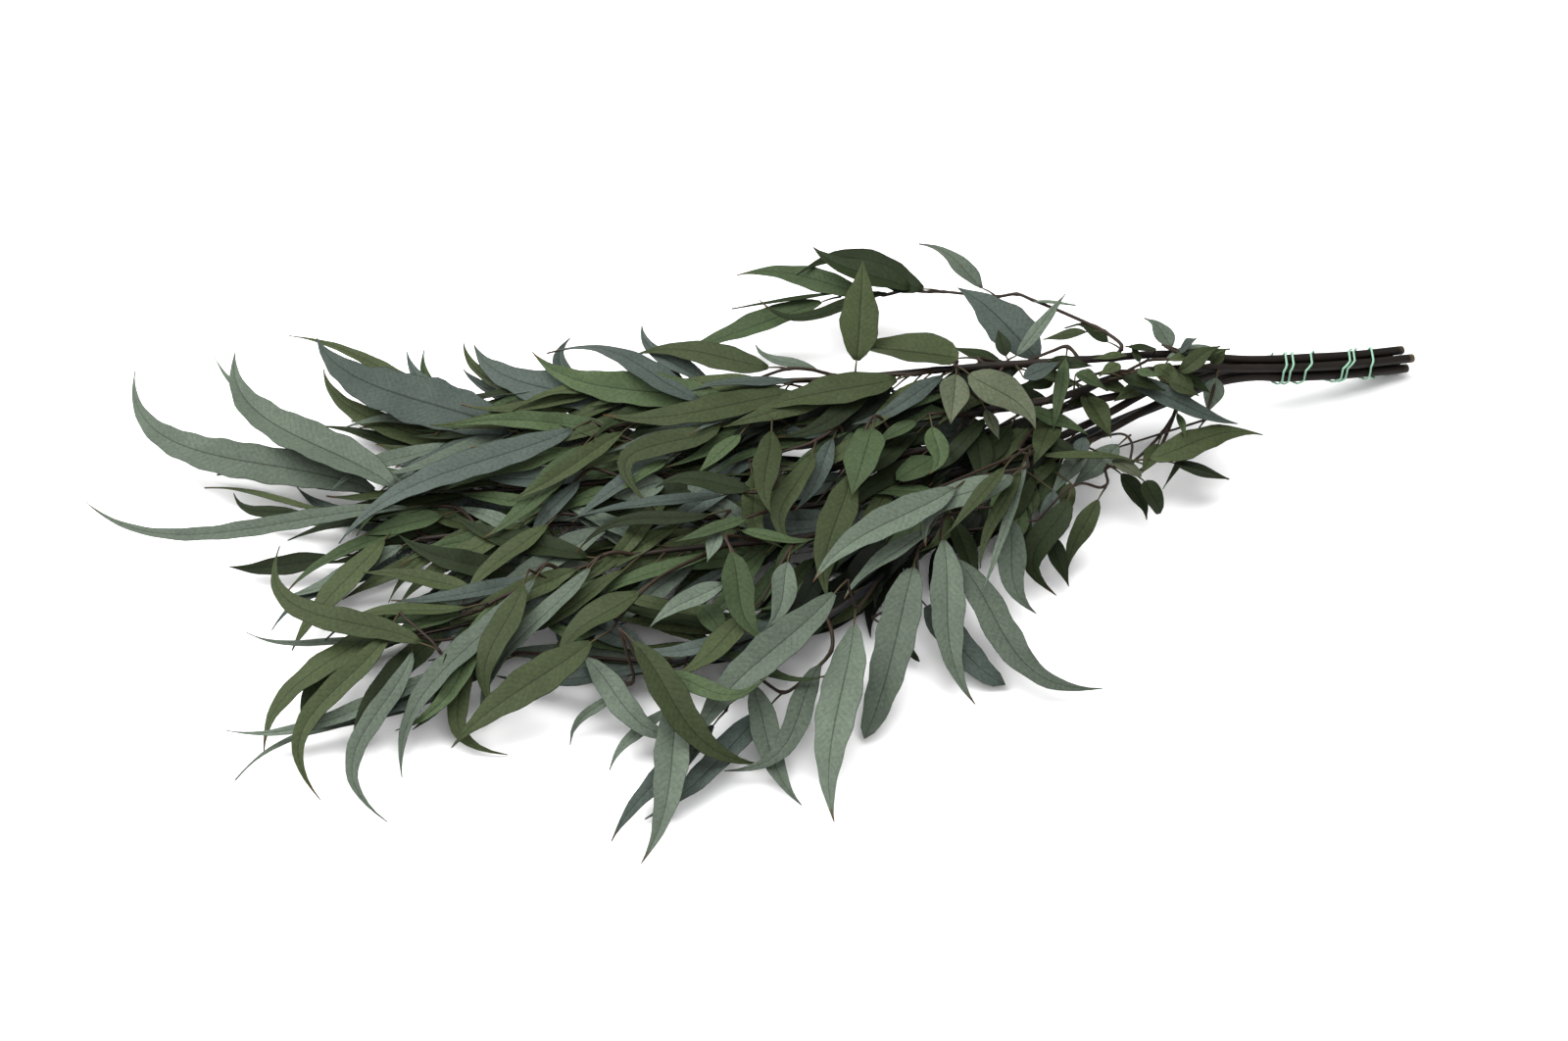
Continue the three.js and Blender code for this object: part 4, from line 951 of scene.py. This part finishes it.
def small_leaves():
    found = []
    for k, row in enumerate(SMALL_LEAVES):
        leaf = dict(base=np.array(row[0:3], float), tip=np.array(row[3:6], float), width=row[6],
                    bow=row[7], tone=row[8], blunt=len(row) > 9, number=500 + 29 * k,
                    roll=ROLL * math.sin(2.2 * k))
        leaf["start"] = nearest_on_branch(leaf["base"])
        leaf["line"] = leaf_line(leaf)
        found.append(leaf)
    return found


def inner_leaves(name, branch, draw):
    """Alternate leaves along one branch, each slanting back towards the leafy end."""
    found = []
    line = branch["line"]
    reach = np.cumsum(np.r_[0, np.linalg.norm(np.diff(line, axis=0), axis=1)])
    first = reach[np.argmax(line[:, 0] < INNER[name]["start"])]
    for k, along in enumerate(np.arange(first, reach[-1], INNER_SPACING)):
        at = np.array([np.interp(along, reach, line[:, axis]) for axis in range(3)])
        ahead = np.array([np.interp(along + 8, reach, line[:, axis]) for axis in range(3)])
        heading = math.atan2(*(ahead - at)[[1, 0]]) if along + 8 < reach[-1] else math.pi
        turn = INNER[name]["sides"][k % 2] * math.radians(draw.uniform(8, 48))
        leafy = np.clip((180 - at[0]) / 150, 0, 1)
        length = mix(draw.uniform(32, 55), draw.uniform(55, 105), leafy)
        way = np.array([math.cos(heading + turn), math.sin(heading + turn), 0])
        base = at + way * (branch["radius"] + PETIOLE_LENGTH * 0.8) + UP * draw.uniform(-12, 2)
        tip = base + way * length + UP * draw.uniform(-18, 2)
        base[2], tip[2] = max(base[2], 3), max(tip[2], 2.5)
        leaf = dict(start=at, base=base, tip=tip, blunt=False, number=1000 + 37 * k,
                    width=mix(draw.uniform(11, 17), draw.uniform(10, 16), leafy),
                    bow=draw.uniform(-0.12, 0.12) * length,
                    # hidden inner leaves take the darker tones: painted shade
                    tone=(OUTER_TONES if tip[0] < OUTER_FROM else INNER_SHADE_TONES)[draw.randint(6)],
                    roll=ROLL * draw.uniform(-1.2, 1.2))
        leaf["line"] = leaf_line(leaf)
        found.append(leaf)
    return found


def add_inner_leaves():
    draw = np.random.RandomState(7)
    chains = []
    add_branch_chains(chains)
    add_shoot_chains(chains, True)
    groups = {name: inner_leaves(name, branch, draw) for name, branch in BRANCHES.items()}
    groups["small"] = small_leaves()
    for group in groups.values():
        for leaf in group:
            add_chain(chains, leaf["line"], 1000 + len(chains), False, blade_half(leaf), blade_tall(leaf))
    settle(chains, [], INNER_ROUNDS)
    for name, group in groups.items():
        skin = Skin()
        for leaf in group:
            add_petiole(skin, leaf["start"], add_leaf(skin, leaf), leaf["tone"])
        piece = skin.object("inner_leaves_" + name, [LEAF_SLOTS["olive"], BARK_MATERIAL])
        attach(piece, "root")


add_inner_leaves()

# ---- Branches -----------------------------------------------------------------------------

CUT_PALE = {"upper": 1.0, "middle": 0.8, "back": 0.5}  # how pale each cut end is


def stem_piece(name, branch):
    """Bark with shallow ridges, thicker rings where shoots leave, and a clean cut end."""
    skin = Skin()
    line = smooth_line(branch["line"][::3].tolist() + [branch["line"][-1].tolist()], 2.0)
    share = np.linspace(0, 1, len(line))
    sides = 20
    radii = stem_radius(branch, share)
    turn = np.arange(sides) * 2 * np.pi / sides
    reach = np.cumsum(np.r_[0, np.linalg.norm(np.diff(line, axis=0), axis=1)])
    rings = 0.05 * np.sin(reach / 23 + branch["cut"]) ** 12
    for shoot in SHOOTS:
        if shoot["on"] == name:
            away = np.linalg.norm(line - shoot["line"][0], axis=1)
            rings = rings + 0.16 * np.exp(-(away / 3.5) ** 2)
    ridge = (0.03 * np.sin(3 * turn[None] + reach[:, None] / 31)
             + 0.02 * np.sin(5 * turn[None] - reach[:, None] / 17 + 1))
    radii = radii[:, None] * (1 + rings[:, None] + ridge)
    pale = 0.5 + 0.5 * np.sin(reach[:, None] / 13 + 2 * np.sin(turn[None] + reach[:, None] / 40))
    bark = BARK_BLUE if name == "near" else BARK
    colours = mix(bark, BARK_PALE, 0.55 * pale[..., None] * np.clip(share * 1.5 + 0.1, 0, 1)[:, None, None])
    colours[:2] = mix(bark, CUT_WOOD, CUT_PALE.get(name, 0.3))
    add_tube(skin, line, radii, sides, colours, 0)
    piece = skin.object("bark_" + name, [BARK_MATERIAL])
    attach(piece, "root")
    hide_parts("stem_" + name)


for name, branch in BRANCHES.items():
    stem_piece(name, branch)

# ---- String -------------------------------------------------------------------------------

STRAND_RADIUS = 0.37
STRAND_OFFSET = 0.33
STRAND_LAY = 3.5  # mm of string per full twist of its strands


def string_piece():
    skin = Skin()
    line = smooth_line(cord.tolist(), 0.7)
    reach = np.cumsum(np.r_[0, np.linalg.norm(np.diff(line, axis=0), axis=1)])
    along = tangents(line)
    side, up = carried(along, across(along[0])[0])
    for strand in range(3):
        turn = (2 * np.pi * (reach / STRAND_LAY + strand / 3))[:, None]
        twisted = line + STRAND_OFFSET * (np.cos(turn) * side + np.sin(turn) * up)
        add_tube(skin, twisted, np.full(len(line), STRAND_RADIUS), 6, MINT, 0)
    piece = skin.object("mint_string", [STRING_MATERIAL])
    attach(piece, "root")
    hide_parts("tie_string")


string_piece()

# ---- Table, light and camera --------------------------------------------------------------

def add_floor():
    bpy.ops.mesh.primitive_plane_add(size=12, location=(0, 0, 0))
    floor = bpy.context.object
    floor.name = "white_table"
    material, nodes, links, shader = new_material("white_table", 0.9)
    shader.inputs["Base Color"].default_value = (0.93, 0.93, 0.93, 1)
    shader.inputs["Specular IOR Level"].default_value = 0.1
    floor.data.materials.append(material)


def add_light(name, place, size, power):
    data = bpy.data.lights.new(name, "AREA")
    data.shape = "RECTANGLE"
    data.size, data.size_y = size
    data.energy = power
    lamp = bpy.data.objects.new(name, data)
    lamp.location = place
    aim = Vector((0, 0, 0.02)) - Vector(place)
    lamp.rotation_euler = aim.to_track_quat("-Z", "Y").to_euler()
    scene.collection.objects.link(lamp)


def add_world():
    world = bpy.data.worlds.new("white_studio")
    scene.world = world
    world.use_nodes = True
    world.node_tree.nodes["Background"].inputs["Color"].default_value = (1, 1, 1, 1)
    world.node_tree.nodes["Background"].inputs["Strength"].default_value = 0.25


VIEW_HEIGHT = math.radians(45)
VIEW_DISTANCE = 1.473
VIEW_AIM = placed([22, 0, 30])


def add_camera():
    data = bpy.data.cameras.new("view")
    data.lens = 60
    data.sensor_width = 36
    camera = bpy.data.objects.new("view", data)
    back = np.array([0, -math.cos(VIEW_HEIGHT), math.sin(VIEW_HEIGHT)])
    camera.location = VIEW_AIM + back * VIEW_DISTANCE
    camera.rotation_euler = (math.pi / 2 - VIEW_HEIGHT, 0, 0)
    scene.collection.objects.link(camera)
    scene.camera = camera


add_floor()
add_light("soft_left", (-1.5, 0.5, 1.5), (1.8, 1.4), 70)
add_light("soft_top", (0.0, 0.3, 2.4), (2.4, 1.8), 70)
add_light("soft_front", (0.3, -1.6, 1.8), (2.4, 1.4), 26)
add_world()
add_camera()
scene.view_settings.view_transform = "Standard"
